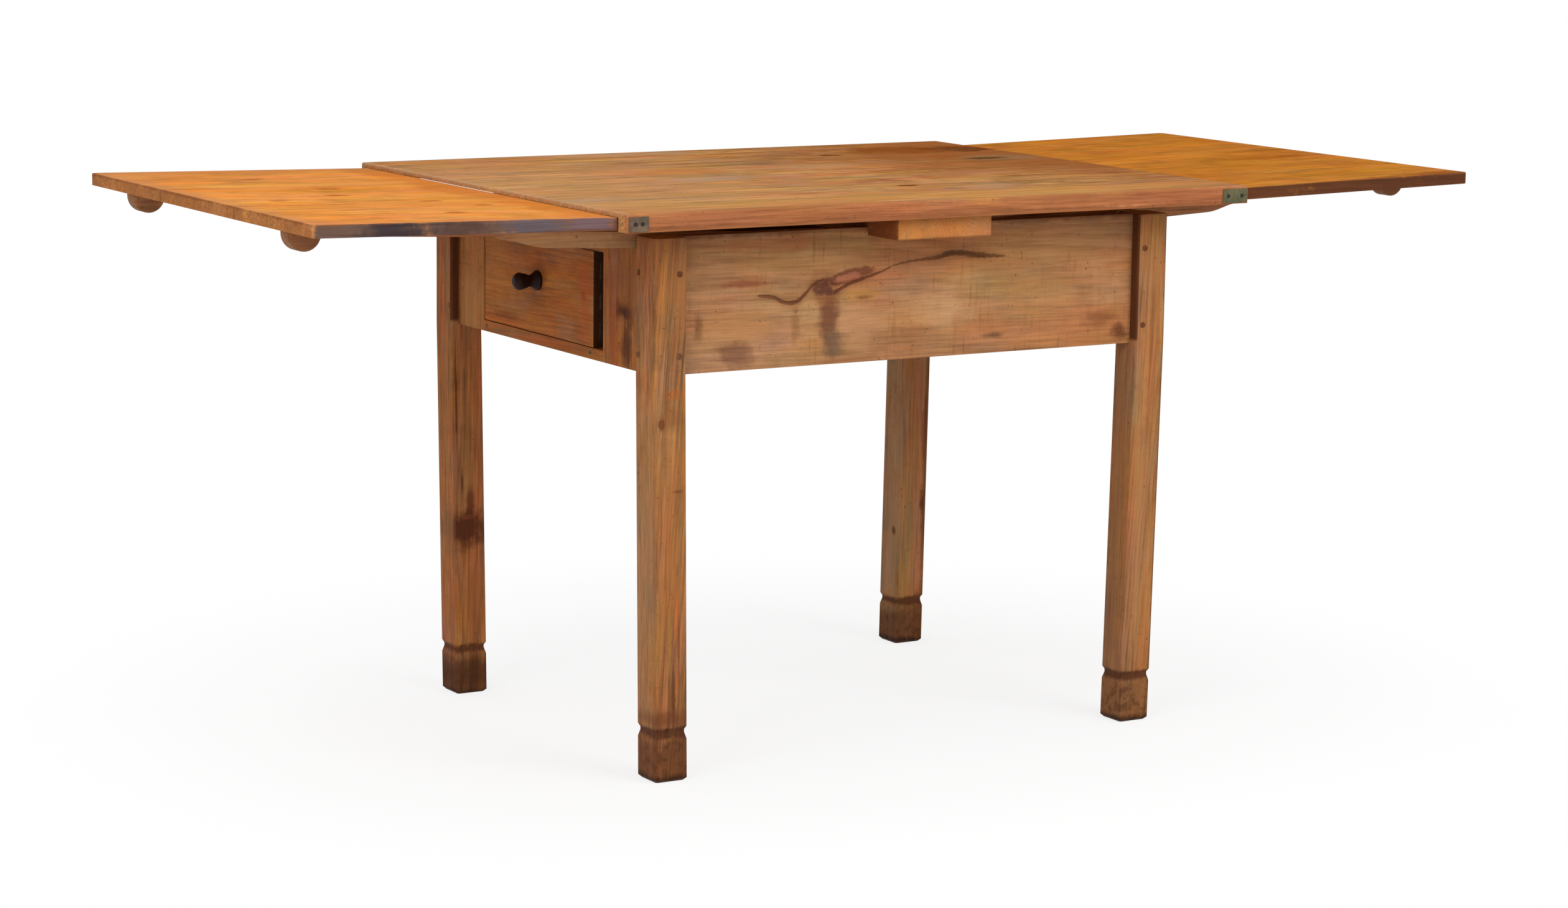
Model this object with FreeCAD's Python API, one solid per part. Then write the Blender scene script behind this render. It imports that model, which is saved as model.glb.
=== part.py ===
import FreeCAD, Part
import math
import os

V = FreeCAD.Vector

# Tavern table with two draw leaves, a loose top and a drawer in its left end.
# Millimetres. X runs along the table, Y from front to back, Z up.
# The origin is on the floor, in the middle between the legs.

# Whole table
TABLE_HEIGHT = 760.0
TOP_LENGTH = 976.0
TOP_WIDTH = 789.0
TOP_THICKNESS = 24.0
TOP_LIP = 6.0                 # what is left of the top at its ends, above the leaves
TOP_EDGE_ROUND = 2.5
TOP_CORNER_ROUND = 3.0
TOP_JOINTS = (-196.0, 6.0, 208.0)     # glue lines between the four planks

FRAME_LENGTH = 814.0          # over the legs
FRAME_WIDTH = 640.0

# Legs
LEG_SIZE = 49.0
LEG_EDGE_ROUND = 3.5
LEG_ROUND_STEPS = 3           # flats that round each edge
LEG_LEAN = 8.5                # each foot stands this much further in, along the table
LEG_LEAN_ACROSS = 1.5         # and this much across it
FOOT_HEIGHT = 56.0            # up to the groove
GROOVE_BEVEL = 8.5
GROOVE_FLOOR = 4.0
GROOVE_TOP = 4.5
GROOVE_DEPTH = 2.4
FOOT_ARRIS = 3.5
CUT_MARGIN = 2.0              # how far cutting shapes reach past a face
TOLERANCE = 1e-4

# Aprons
APRON_HEIGHT = 180.0
APRON_THICKNESS = 22.0
APRON_SETBACK = 15.0          # front and rear aprons behind the legs' faces
END_SETBACK = 12.0            # end boards behind the legs' end faces
TENON_THICKNESS = 12.0
LONG_TENON = 18.0             # front and rear aprons
END_TENON = 15.0              # end boards and stiles
TENON_EDGE = 8.0              # tenon stands in from the apron's lower edge
TENON_TOP_DROP = 28.0         # and from its upper edge, below the runner notches

# Pegs in the legs
PEG_DIAMETER = 8.0
PEG_LENGTH = 32.0
PEG_PROUD = 0.6
PEG_DROPS = (154.0, 47.0)     # below the frame's upper edge
PEG_INSET_LONG = 11.0         # from the leg's inner edge, front and rear faces
PEG_INSET_END = 8.0           # from the leg's inner edge, end faces

# Crossboard
CROSS_WIDTH = 148.0
CROSS_END_INSET = 16.5        # its ends behind the top's long edges
CROSS_NOTCH = 11.0            # how deep it is let into the aprons
CROSS_FIT = 0.3
CROSS_PEG_DIAMETER = 9.0
CROSS_PEG_SPREAD = 92.0
CROSS_PEG_LENGTH = 58.0
LOCATOR_DIAMETER = 14.0       # two pegs that keep the loose top in place
LOCATOR_SPREAD = 500.0
LOCATOR_HEIGHT = 12.0
LOCATOR_FIT = 0.5

# Leaves
LEAF_LENGTH = 415.0
LEAF_THICKNESS = 16.0
LEAF_RISE = 8.0               # the outer end stands this much higher
LEAF_INSET = 23.5             # narrower than the top, each side
LEAF_JOINTS = (-128.0, 118.0)
LEAF_EDGE_ROUND = 1.5
LEAF_CORNER_ROUND = 10.0
LEAF_END_GAP = 0.8            # to the top's end, with the leaf drawn out
LEAF_STOP_GAP = 6.0           # to the crossboard, with the leaf pushed in
LEAF_SIDE_FIT = 1.0
LEAF_TOP_FIT = 0.3
LEAF_FRAME_FIT = 0.8
LEAF_PANEL_FIT = 1.2          # to the top's underside, with the leaf pushed in

# Runners
RUNNER_WIDTH = 22.0
RUNNER_LEG_GAP = 5.0          # left leaf's runners to the legs
RUNNER_LANE_GAP = 2.0         # between the left and the right leaf's runners
RUNNER_SEAT = 17.5            # notch floor below the frame's upper edge
RUNNER_FIT = 0.15
RUNNER_SIDE_FIT = 1.0
RUNNER_OVERLAP = 19.0         # of the tongue's end and the crossboard, drawn out
RUNNER_HOLD_GAP = 0.5         # to the crossboard that holds the tongue down
DEEP_LENGTH = 45.0            # of the deep part past the leaf's inner end
OGEE_LENGTH = 77.0
OGEE_RISE = 14.0              # beyond what the slope itself rises
OGEE_KNEE = (0.36, 0.62)      # share of the length and rise at the ogee's step
OGEE_KNEE_SLOPE = 0.12
NOSE_RADIUS = 22.5
NOSE_INSET = 35.0             # nose centre to the leaf's outer end
NOSE_SINK = 5.0               # nose centre below the leaf's underside
TONGUE_CHAMFER = 6.0
STEP_INSET = 2.0              # from the leaf's inner end to the tongue's step
STEP_RUN = 8.0
RUNNER_PEG_DIAMETER = 7.0
RUNNER_PEG_OFFSETS = (26.0, 165.0, 310.0)     # from the leaf's inner end
RUNNER_PEG_BITE = 10.0        # into the leaf
RUNNER_PEG_RECESS = 0.6

# Drawer end
STILE_FRONT_WIDTH = 110.0     # seen between the leg and the opening
STILE_REAR_WIDTH = 81.0
BOTTOM_RAIL_HEIGHT = 15.0
TOP_RAIL_HEIGHT = 34.0
RAIL_TENON = 12.0
RAIL_TENON_EDGE = 0.25        # share of a rail's height that each tenon shoulder takes

DRAWER_GAP_FRONT = 29.0       # the tall gap beside the drawer front
DRAWER_GAP_REAR = 0.8
DRAWER_GAP_TOP = 1.0
DRAWER_GAP_BOTTOM = 0.8
DRAWER_LENGTH = 560.0
DRAWER_FRONT_THICKNESS = 18.0
DRAWER_SIDE_THICKNESS = 12.0
DRAWER_SIDE_DROP = 8.0        # sides and back lower than the front
DRAWER_BOTTOM_THICKNESS = 7.0
DRAWER_BOTTOM_RAISE = 6.0
DRAWER_GROOVE = 5.0
GROOVE_FIT = 0.2
DRAWER_FACE_SETBACK = 1.0
DRAWER_EDGE_ROUND = 1.0
DRAWER_NAIL_COUNT = 3         # through each side into the back
DOVETAIL_COUNT = 3
DOVETAIL_DEPTH = 9.0
DOVETAIL_WIDE = 22.0
DOVETAIL_NARROW = 16.0

BEARER_WIDTH = 34.0
BEARER_HEIGHT = 14.0
BEARER_REACH = 4.0            # past the drawer side's inner face
BEARER_FIT = 0.3
BEARER_NAIL_INSET = 9.0       # from the bearer's inner edge
BEARER_NAIL_LENGTH = 50.0
GUIDE_WIDTH = 16.0
GUIDE_HEIGHT = 22.0
GUIDE_FIT = 1.0

KNOB_RAISE = 8.0              # above the middle of the drawer front
KNOB_ROSE_DIAMETER = 27.0
KNOB_ROSE_THICKNESS = 5.0
KNOB_ROSE_RIM = 3.0           # straight part of the rose's edge
KNOB_NECK_DIAMETER = 16.0
KNOB_NECK_LENGTH = 16.0
KNOB_NECK_FLARE = 3.0         # length of the curves at both ends of the neck
KNOB_NECK_SWELL = 2.0         # how much the radius grows there
KNOB_HEAD_DIAMETER = 24.0
KNOB_HEAD_LENGTH = 16.0
KNOB_FACE_DEPTH = 2.0         # of the head's domed face
KNOB_FACE_SHARE = 0.72        # the face's radius, of the head's
KNOB_SPIGOT_DIAMETER = 10.0
KNOB_SPIGOT_FIT = 0.1

# Iron
PLATE_THICKNESS = 1.2
PLATE_HEIGHT = 19.0
PLATE_DROP = 1.0              # below the middle of the top's edge
PLATE_WIDTHS = {"left": 28.0, "right": 41.0}
PLATE_NAIL_INSET = 9.0
NAIL_DIAMETER = 2.6
NAIL_HEAD_DIAMETER = 5.0
NAIL_HEAD_HEIGHT = 1.0
NAIL_LENGTH = 22.0

# Worked out
leaf_space = LEAF_FRAME_FIT + LEAF_THICKNESS + LEAF_PANEL_FIT     # frame's upper edge to the top
top_underside = TABLE_HEIGHT - TOP_THICKNESS
frame_top = top_underside - leaf_space
apron_bottom = frame_top - APRON_HEIGHT
half_top = TOP_LENGTH / 2
half_top_width = TOP_WIDTH / 2
half_frame = FRAME_LENGTH / 2
half_frame_width = FRAME_WIDTH / 2
leg_inner_x = half_frame - LEG_SIZE
leg_inner_y = half_frame_width - LEG_SIZE
end_outer_x = half_frame - END_SETBACK
end_inner_x = end_outer_x - APRON_THICKNESS
apron_outer_y = half_frame_width - APRON_SETBACK
apron_inner_y = apron_outer_y - APRON_THICKNESS
cross_bottom = frame_top - CROSS_NOTCH
half_cross = CROSS_WIDTH / 2
cross_end = half_top_width - CROSS_END_INSET
half_leaf = half_top_width - LEAF_INSET

leaf_inner_x = half_top + LEAF_END_GAP
leaf_outer_x = leaf_inner_x + LEAF_LENGTH
leaf_inner_top = TABLE_HEIGHT - TOP_LIP - LEAF_TOP_FIT
leaf_inner_bottom = leaf_inner_top - LEAF_THICKNESS
leaf_tilt = LEAF_RISE / LEAF_LENGTH
leaf_travel = leaf_inner_x - half_cross - LEAF_STOP_GAP
leaf_drop = leaf_inner_bottom - frame_top - LEAF_FRAME_FIT
slide_slope = leaf_drop / leaf_travel     # the leaves sink as they go in
left_lane = leg_inner_y - RUNNER_LEG_GAP - RUNNER_WIDTH      # inner face of the runners
right_lane = left_lane - RUNNER_LANE_GAP - RUNNER_WIDTH
runner_inner_x = half_cross - RUNNER_OVERLAP
deep_end = leaf_inner_x + DEEP_LENGTH
nose_centre = leaf_outer_x - NOSE_INSET

opening_front = -leg_inner_y + STILE_FRONT_WIDTH
opening_rear = leg_inner_y - STILE_REAR_WIDTH
opening_bottom = apron_bottom + BOTTOM_RAIL_HEIGHT
opening_top = frame_top - TOP_RAIL_HEIGHT
tenon_bottom = apron_bottom + TENON_EDGE
tenon_top = frame_top - TENON_TOP_DROP


def box(x0, x1, y0, y1, z0, z1):
    """Block between two corners, in any order."""
    low = V(min(x0, x1), min(y0, y1), min(z0, z1))
    return Part.makeBox(abs(x1 - x0), abs(y1 - y0), abs(z1 - z0), low)


def rod(diameter, start, direction, length):
    return Part.makeCylinder(diameter / 2, length, start, direction)


def joined(first, *others):
    """One solid from pieces that touch or overlap."""
    shape = first
    for other in others:
        shape = shape.fuse(other)
    return shape.removeSplitter().Solids[0]


def centre(shape):
    return shape.BoundBox.Center


def flip_x(shape):
    return shape.mirror(V(0, 0, 0), V(1, 0, 0))


def flip_y(shape):
    return shape.mirror(V(0, 0, 0), V(0, 1, 0))


def profile_solid(edges, y0, width):
    """Edges of a closed outline in the XZ plane at y0, made a solid towards +Y."""
    face = Part.Face(Part.Wire(edges))
    return face.extrude(V(0, width, 0))


def polygon_edges(points, y):
    closed = points + points[:1]
    corners = [V(x, y, z) for x, z in closed]
    return [Part.LineSegment(a, b).toShape() for a, b in zip(corners, corners[1:])]


def edges_where(shape, test):
    return [edge for edge in shape.Edges if test(edge.BoundBox, edge)]


def rounded(shape, radius, test):
    chosen = edges_where(shape, test)
    return shape.makeFillet(radius, chosen) if chosen else shape


def flat(low, high):
    return high - low < TOLERANCE


def near(a, b):
    return abs(a - b) < TOLERANCE


# Pegs and nails
def peg_spots():
    """The pegs of the front left leg, as (start, direction); other legs mirror it."""
    spots = []
    face_y = -half_frame_width - PEG_PROUD
    face_x = -half_frame - PEG_PROUD
    for z in [frame_top - drop for drop in PEG_DROPS]:
        spots.append((V(-leg_inner_x - PEG_INSET_LONG, face_y, z), V(0, 1, 0)))
        spots.append((V(face_x, -leg_inner_y - PEG_INSET_END, z), V(1, 0, 0)))
    return spots


def leg_pegs():
    pegs = [rod(PEG_DIAMETER, start, direction, PEG_LENGTH) for start, direction in peg_spots()]
    return Part.makeCompound(pegs)


def drilled_for_pegs(shape, mirror):
    """Drill the peg holes of one corner; mirror carries the pegs to that corner."""
    return shape.cut(mirror(leg_pegs()))


def nail(place, direction, length=NAIL_LENGTH):
    """Nail with a flat head; place is the middle of the head's underside."""
    shank = rod(NAIL_DIAMETER, place, direction, length)
    head = rod(NAIL_HEAD_DIAMETER, place - direction * NAIL_HEAD_HEIGHT, direction, NAIL_HEAD_HEIGHT)
    return joined(head, shank)


corner_mirrors = {
    "front_left": lambda shape: shape,
    "front_right": flip_x,
    "rear_left": flip_y,
    "rear_right": lambda shape: flip_x(flip_y(shape)),
}


# Legs
def leg_outline(z, inset):
    """Square section with rounded corners; the leg leans in below the aprons."""
    low = inset + LEG_EDGE_ROUND
    high = LEG_SIZE - low
    lean = max(0.0, 1 - z / apron_bottom)
    shift = V(lean * LEG_LEAN - half_frame, lean * LEG_LEAN_ACROSS - half_frame_width, z)
    corners = []
    for quarter, (x, y) in enumerate(((high, high), (low, high), (low, low), (high, low))):
        for step in range(LEG_ROUND_STEPS + 1):
            angle = math.pi / 2 * (quarter + step / LEG_ROUND_STEPS)
            reach = V(math.cos(angle), math.sin(angle), 0) * LEG_EDGE_ROUND
            corners.append(V(x, y, 0) + reach + shift)
    return Part.makePolygon(corners + corners[:1])


def mortises():
    long_y = -apron_outer_y + (APRON_THICKNESS - TENON_THICKNESS) / 2
    end_x = -end_outer_x + (APRON_THICKNESS - TENON_THICKNESS) / 2
    long_slot = box(-leg_inner_x - LONG_TENON, -leg_inner_x, long_y, long_y + TENON_THICKNESS,
                    tenon_bottom, tenon_top)
    end_slot = box(end_x, end_x + TENON_THICKNESS, -leg_inner_y - END_TENON, -leg_inner_y,
                   tenon_bottom, tenon_top)
    return [long_slot, end_slot]


def make_leg():
    """The front left leg: a square post with a foot below a groove."""
    groove_floor = FOOT_HEIGHT + GROOVE_BEVEL
    groove_ceiling = groove_floor + GROOVE_FLOOR
    levels = [
        (0.0, FOOT_ARRIS),
        (FOOT_ARRIS, 0.0),
        (FOOT_HEIGHT, 0.0),
        (groove_floor, GROOVE_DEPTH),
        (groove_ceiling, GROOVE_DEPTH),
        (groove_ceiling + GROOVE_TOP, 0.0),
        (apron_bottom, 0.0),
        (frame_top, 0.0),
    ]
    leg = Part.makeLoft([leg_outline(*level) for level in levels], True, True)
    for slot in mortises():
        leg = leg.cut(slot)
    return drilled_for_pegs(leg, corner_mirrors["front_left"])


def make_legs():
    legs = {}
    for corner, mirror in corner_mirrors.items():
        legs["leg_" + corner] = mirror(make_leg())
        legs["leg_pegs_" + corner] = mirror(leg_pegs())
    return legs


# Aprons and drawer end
def with_tenons_x(board, y_outer, side):
    """Long apron between the legs; side is -1 for the front, 1 for the rear."""
    margin = (APRON_THICKNESS - TENON_THICKNESS) / 2
    y0 = side * (y_outer - margin)
    y1 = side * (y_outer - margin - TENON_THICKNESS)
    reach = leg_inner_x + LONG_TENON
    return joined(board, box(-reach, reach, y0, y1, tenon_bottom, tenon_top))


def make_long_apron(side):
    board = box(-leg_inner_x, leg_inner_x, side * apron_outer_y, side * apron_inner_y,
                apron_bottom, frame_top)
    board = with_tenons_x(board, apron_outer_y, side)
    notch_half = half_cross + CROSS_FIT
    notch = box(-notch_half, notch_half, side * (apron_outer_y + CUT_MARGIN),
                side * (apron_inner_y - CUT_MARGIN), cross_bottom, frame_top + CUT_MARGIN)
    board = board.cut(notch)
    for peg in cross_pegs():
        board = board.cut(peg)
    for mirror in corner_mirrors.values():
        board = drilled_for_pegs(board, mirror)
    return board


def runner_floor(x):
    """Height of the sloping line that the runners' undersides slide along, right side."""
    return frame_top - RUNNER_SEAT + slide_slope * (x - end_outer_x)


def notch_tool(lane, to_leg):
    """Notch in the right end board for one runner behind the table's middle line."""
    y0 = lane - RUNNER_SIDE_FIT
    y1 = leg_inner_y + CUT_MARGIN if to_leg else lane + RUNNER_WIDTH + RUNNER_SIDE_FIT
    x0 = end_inner_x - CUT_MARGIN
    x1 = end_outer_x + CUT_MARGIN
    outline = [(x0, runner_floor(x0) - RUNNER_FIT), (x1, runner_floor(x1) - RUNNER_FIT),
               (x1, frame_top + CUT_MARGIN), (x0, frame_top + CUT_MARGIN)]
    return profile_solid(polygon_edges(outline, y0), y0, y1 - y0)


def end_tenon(y_sign):
    margin = (APRON_THICKNESS - TENON_THICKNESS) / 2
    return box(end_outer_x - margin, end_outer_x - margin - TENON_THICKNESS,
               y_sign * (leg_inner_y - CUT_MARGIN), y_sign * (leg_inner_y + END_TENON),
               tenon_bottom, tenon_top)


def make_right_end():
    board = box(end_inner_x, end_outer_x, -leg_inner_y, leg_inner_y, apron_bottom, frame_top)
    board = joined(board, end_tenon(-1), end_tenon(1))
    tool = notch_tool(right_lane, False)
    board = board.cut(tool).cut(flip_y(tool))
    for name in ("front_right", "rear_right"):
        board = drilled_for_pegs(board, corner_mirrors[name])
    for one in bearer_nails():
        if centre(one).x > 0:
            board = board.cut(one)
    return board


def rail_tenon(y0, y1, z0, z1):
    """A rail's tenon in the stile beside it, inside the board's thickness."""
    margin = (APRON_THICKNESS - TENON_THICKNESS) / 2
    return box(-end_outer_x + margin, -end_inner_x - margin, y0, y1, z0, z1)


def make_drawer_end():
    """Left end: two stiles tenoned into the legs, a rail over and one under the drawer."""
    reach = RAIL_TENON
    rails = {
        "drawer_end_bottom_rail": (apron_bottom, opening_bottom),
        "drawer_end_top_rail": (opening_top, frame_top),
    }
    pieces = {}
    tenons = []
    for name, (z0, z1) in rails.items():
        inset = (z1 - z0) * RAIL_TENON_EDGE
        tenon = rail_tenon(opening_front - reach, opening_rear + reach, z0 + inset, z1 - inset)
        rail = box(-end_outer_x, -end_inner_x, opening_front, opening_rear, z0, z1)
        pieces[name] = joined(rail, tenon)
        tenons.append(tenon)
    for name, side, inner in (("front", -1, opening_front), ("rear", 1, opening_rear)):
        stile = box(-end_outer_x, -end_inner_x, inner, side * leg_inner_y, apron_bottom, frame_top)
        stile = joined(stile, flip_x(end_tenon(side)))
        tool = flip_x(notch_tool(left_lane, True))
        stile = stile.cut(tool if side > 0 else flip_y(tool))
        for tenon in tenons:
            stile = stile.cut(tenon)
        stile = drilled_for_pegs(stile, corner_mirrors[name + "_left"])
        pieces["drawer_end_stile_" + name] = stile
    for one in bearer_nails():
        if centre(one).x < 0:
            pieces["drawer_end_bottom_rail"] = pieces["drawer_end_bottom_rail"].cut(one)
    return pieces


# Crossboard
def cross_pegs():
    half = CROSS_PEG_SPREAD / 2
    y = (apron_outer_y + apron_inner_y) / 2
    spots = [(sx * half, sy * y) for sx in (-1, 1) for sy in (-1, 1)]
    down = V(0, 0, -1)
    return [rod(CROSS_PEG_DIAMETER, V(x, y, top_underside), down, CROSS_PEG_LENGTH) for x, y in spots]


def locators():
    """Pegs that stand up from the crossboard into the top."""
    half = LOCATOR_SPREAD / 2
    height = top_underside + LOCATOR_HEIGHT - cross_bottom
    return [rod(LOCATOR_DIAMETER, V(0, y, cross_bottom), V(0, 0, 1), height) for y in (-half, half)]


def make_crossboard():
    board = box(-half_cross, half_cross, -cross_end, cross_end, cross_bottom, top_underside)
    board = rounded(board, TOP_EDGE_ROUND, lambda bb, e: flat(bb.YMin, bb.YMax)
                    and near(abs(bb.YMin), cross_end))
    for peg in cross_pegs() + locators():
        board = board.cut(peg)
    return {
        "crossboard": board,
        "crossboard_pegs": Part.makeCompound(cross_pegs()),
        "top_locating_pegs": Part.makeCompound(locators()),
    }


# Top
def top_section():
    """Length section of the top: full at the crossboard, planed thin towards the ends."""
    flat_half = half_top - (TABLE_HEIGHT - TOP_LIP - top_underside) / slide_slope
    lip = TABLE_HEIGHT - TOP_LIP
    return [(-half_top, lip), (-flat_half, top_underside), (flat_half, top_underside),
            (half_top, lip), (half_top, TABLE_HEIGHT), (-half_top, TABLE_HEIGHT)]


def make_plank(y0, y1):
    rail = half_leaf + LEAF_SIDE_FIT
    panel_y0 = max(y0, -rail)
    panel_y1 = min(y1, rail)
    plank = profile_solid(polygon_edges(top_section(), panel_y0), panel_y0, panel_y1 - panel_y0)
    if panel_y0 > y0:
        plank = joined(plank, box(-half_top, half_top, y0, panel_y0, top_underside, TABLE_HEIGHT))
    if panel_y1 < y1:
        plank = joined(plank, box(-half_top, half_top, panel_y1, y1, top_underside, TABLE_HEIGHT))
    return plank


def eased_plank(plank):
    """Round the plank's outer corners and its worn upper edges."""
    plank = rounded(plank, TOP_CORNER_ROUND, lambda bb, e: flat(bb.XMin, bb.XMax)
                    and flat(bb.YMin, bb.YMax) and near(abs(bb.XMin), half_top)
                    and near(abs(bb.YMin), half_top_width))
    inner = half_top_width - 2 * TOP_CORNER_ROUND
    return rounded(plank, TOP_EDGE_ROUND, lambda bb, e: near(bb.ZMin, TABLE_HEIGHT)
                   and near(bb.ZMax, TABLE_HEIGHT)
                   and (near(abs(bb.XMin), half_top) and flat(bb.XMin, bb.XMax)
                        or abs(bb.YMin) > inner and abs(bb.YMax) > inner))


def corner_plates():
    """Iron plates at the ends of the top's long edges, as name -> (plate, nails)."""
    plates = {}
    z = (top_underside + TABLE_HEIGHT) / 2 - PLATE_DROP
    for side, sx in (("left", -1), ("right", 1)):
        width = PLATE_WIDTHS[side]
        x_out = half_top - TOP_CORNER_ROUND
        for face, sy in (("front", -1), ("rear", 1)):
            plate = box(sx * x_out, sx * (x_out - width), sy * half_top_width,
                        sy * (half_top_width + PLATE_THICKNESS), z - PLATE_HEIGHT / 2, z + PLATE_HEIGHT / 2)
            face_y = sy * (half_top_width + PLATE_THICKNESS)
            nails = [nail(V(sx * (x_out - inset), face_y, z), V(0, -sy, 0))
                     for inset in (PLATE_NAIL_INSET, width - PLATE_NAIL_INSET)]
            for one in nails:
                plate = plate.cut(one)
            plates["corner_plate_%s_%s" % (face, side)] = (plate, nails)
    return plates


def make_top():
    edges = (-half_top_width,) + TOP_JOINTS + (half_top_width,)
    names = ("top_plank_front", "top_plank_middle_front", "top_plank_middle_rear", "top_plank_rear")
    plates = corner_plates()
    nails = [one for plate, group in plates.values() for one in group]
    pieces = {}
    for name, y0, y1 in zip(names, edges, edges[1:]):
        plank = eased_plank(make_plank(y0, y1))
        for one in nails:
            if y0 < centre(one).y < y1:
                plank = plank.cut(one)
        for peg in locators():
            spot = centre(peg)
            if y0 < spot.y < y1:
                hole = rod(LOCATOR_DIAMETER + 2 * LOCATOR_FIT, V(spot.x, spot.y, top_underside),
                           V(0, 0, 1), LOCATOR_HEIGHT + LOCATOR_FIT)
                plank = plank.cut(hole)
        pieces[name] = plank
    for name, (plate, group) in plates.items():
        pieces[name] = plate
    pieces["corner_plate_nails"] = Part.makeCompound(nails)
    return pieces


# Leaves
def leaf_underside(x):
    return leaf_inner_bottom + leaf_tilt * (x - leaf_inner_x)


def tongue_top(x):
    """Upper line of the tongue, just under the crossboard all the way in."""
    return cross_bottom - RUNNER_HOLD_GAP + slide_slope * (x - half_cross)


def ogee_points():
    """From the thin part, down the ogee, to the deep part's end, as (x, z)."""
    x0 = deep_end
    x1 = deep_end + OGEE_LENGTH
    z0 = runner_floor(x0)
    z1 = runner_floor(x1) + OGEE_RISE
    knee_x = x0 + OGEE_LENGTH * (1 - OGEE_KNEE[0])
    knee_z = z0 + (z1 - z0) * OGEE_KNEE[1]
    return (x1, z1), (knee_x, knee_z), (x0, z0)


def thin_underside(x):
    """Underside of the thin part, between the ogee and the nose."""
    start = ogee_points()[0]
    return start[1] + slide_slope * (x - start[0])


def runner_edges(y):
    """Side outline of a right-hand runner: tongue, deep part, ogee, thin part and nose."""
    start, knee, end = ogee_points()
    nose_z = leaf_underside(nose_centre) - NOSE_SINK
    nose_out_x = nose_centre + NOSE_RADIUS
    drop = nose_z - thin_underside(nose_centre - NOSE_RADIUS)
    nose_in_x = nose_centre - math.sqrt(NOSE_RADIUS ** 2 - drop ** 2)
    nose_in = V(nose_in_x, y, nose_z - drop)
    nose_low = V(nose_centre, y, nose_z - NOSE_RADIUS)
    nose_out = V(nose_out_x, y, nose_z)
    step_x = leaf_inner_x + STEP_INSET
    inner = runner_inner_x
    points = [
        nose_out,
        V(nose_out_x, y, leaf_underside(nose_out_x)),
        V(step_x + STEP_RUN, y, leaf_underside(step_x + STEP_RUN)),
        V(step_x, y, tongue_top(step_x)),
        V(inner, y, tongue_top(inner)),
        V(inner, y, runner_floor(inner) + TONGUE_CHAMFER),
        V(inner + TONGUE_CHAMFER, y, runner_floor(inner + TONGUE_CHAMFER)),
        V(end[0], y, end[1]),
    ]
    edges = [Part.LineSegment(a, b).toShape() for a, b in zip(points, points[1:])]
    along = V(1, 0, slide_slope)
    curve = Part.BSplineCurve()
    steep = V(1, 0, OGEE_KNEE_SLOPE)
    curve.interpolate(Points=[points[-1], V(knee[0], y, knee[1]), V(start[0], y, start[1])],
                      Tangents=[along, steep, along], TangentFlags=[True, True, True])
    edges.append(curve.toShape())
    edges.append(Part.LineSegment(V(start[0], y, start[1]), nose_in).toShape())
    edges.append(Part.Arc(nose_in, nose_low, nose_out).toShape())
    return edges


def runner_bottom(x):
    """Underside of the runner at x, for the pegs."""
    start, knee, end = ogee_points()
    if x <= end[0]:
        return runner_floor(x)
    if x >= start[0]:
        return thin_underside(x)
    return end[1]


def runner_pegs(y):
    pegs = []
    for x in [leaf_inner_x + offset for offset in RUNNER_PEG_OFFSETS]:
        low = runner_bottom(x) + RUNNER_PEG_RECESS
        high = leaf_underside(x) + RUNNER_PEG_BITE
        pegs.append(rod(RUNNER_PEG_DIAMETER, V(x, y, low), V(0, 0, 1), high - low))
    return pegs


def make_leaf(side):
    """One leaf with its two runners, made on the right and mirrored for the left."""
    lane = left_lane if side == "left" else right_lane
    place = flip_x if side == "left" else (lambda shape: shape)
    runners = {}
    pegs = []
    for face, y0 in (("front", -lane - RUNNER_WIDTH), ("rear", lane)):
        runner = profile_solid(runner_edges(y0), y0, RUNNER_WIDTH)
        group = runner_pegs(y0 + RUNNER_WIDTH / 2)
        for peg in group:
            below = V(0, 0, peg.BoundBox.ZLength / 2 + CUT_MARGIN)
            runner = runner.cut(rod(RUNNER_PEG_DIAMETER, centre(peg) - below, V(0, 0, 1), 2 * below.z))
        pegs += group
        runners["%s_runner_%s" % (side, face)] = runner
    pieces = {}
    edges = (-half_leaf,) + LEAF_JOINTS + (half_leaf,)
    for name, y0, y1 in zip(("front", "middle", "rear"), edges, edges[1:]):
        outline = [(leaf_inner_x, leaf_inner_bottom), (leaf_outer_x, leaf_underside(leaf_outer_x)),
                   (leaf_outer_x, leaf_underside(leaf_outer_x) + LEAF_THICKNESS),
                   (leaf_inner_x, leaf_inner_top)]
        board = profile_solid(polygon_edges(outline, y0), y0, y1 - y0)
        board = rounded(board, LEAF_CORNER_ROUND, lambda bb, e: flat(bb.XMin, bb.XMax)
                        and flat(bb.YMin, bb.YMax) and near(bb.XMin, leaf_outer_x)
                        and near(abs(bb.YMin), half_leaf))
        edge_y = half_leaf - 2 * LEAF_CORNER_ROUND
        board = rounded(board, LEAF_EDGE_ROUND, lambda bb, e: bb.ZMin > leaf_inner_top - CUT_MARGIN
                        and (near(bb.XMin, leaf_outer_x)
                             or abs(bb.YMin) > edge_y and abs(bb.YMax) > edge_y))
        for peg in pegs:
            if y0 < centre(peg).y < y1:
                board = board.cut(peg)
        pieces["%s_leaf_board_%s" % (side, name)] = board
    pieces.update(runners)
    pieces["%s_leaf_pegs" % side] = Part.makeCompound(pegs)
    return {name: place(shape) for name, shape in pieces.items()}


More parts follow.
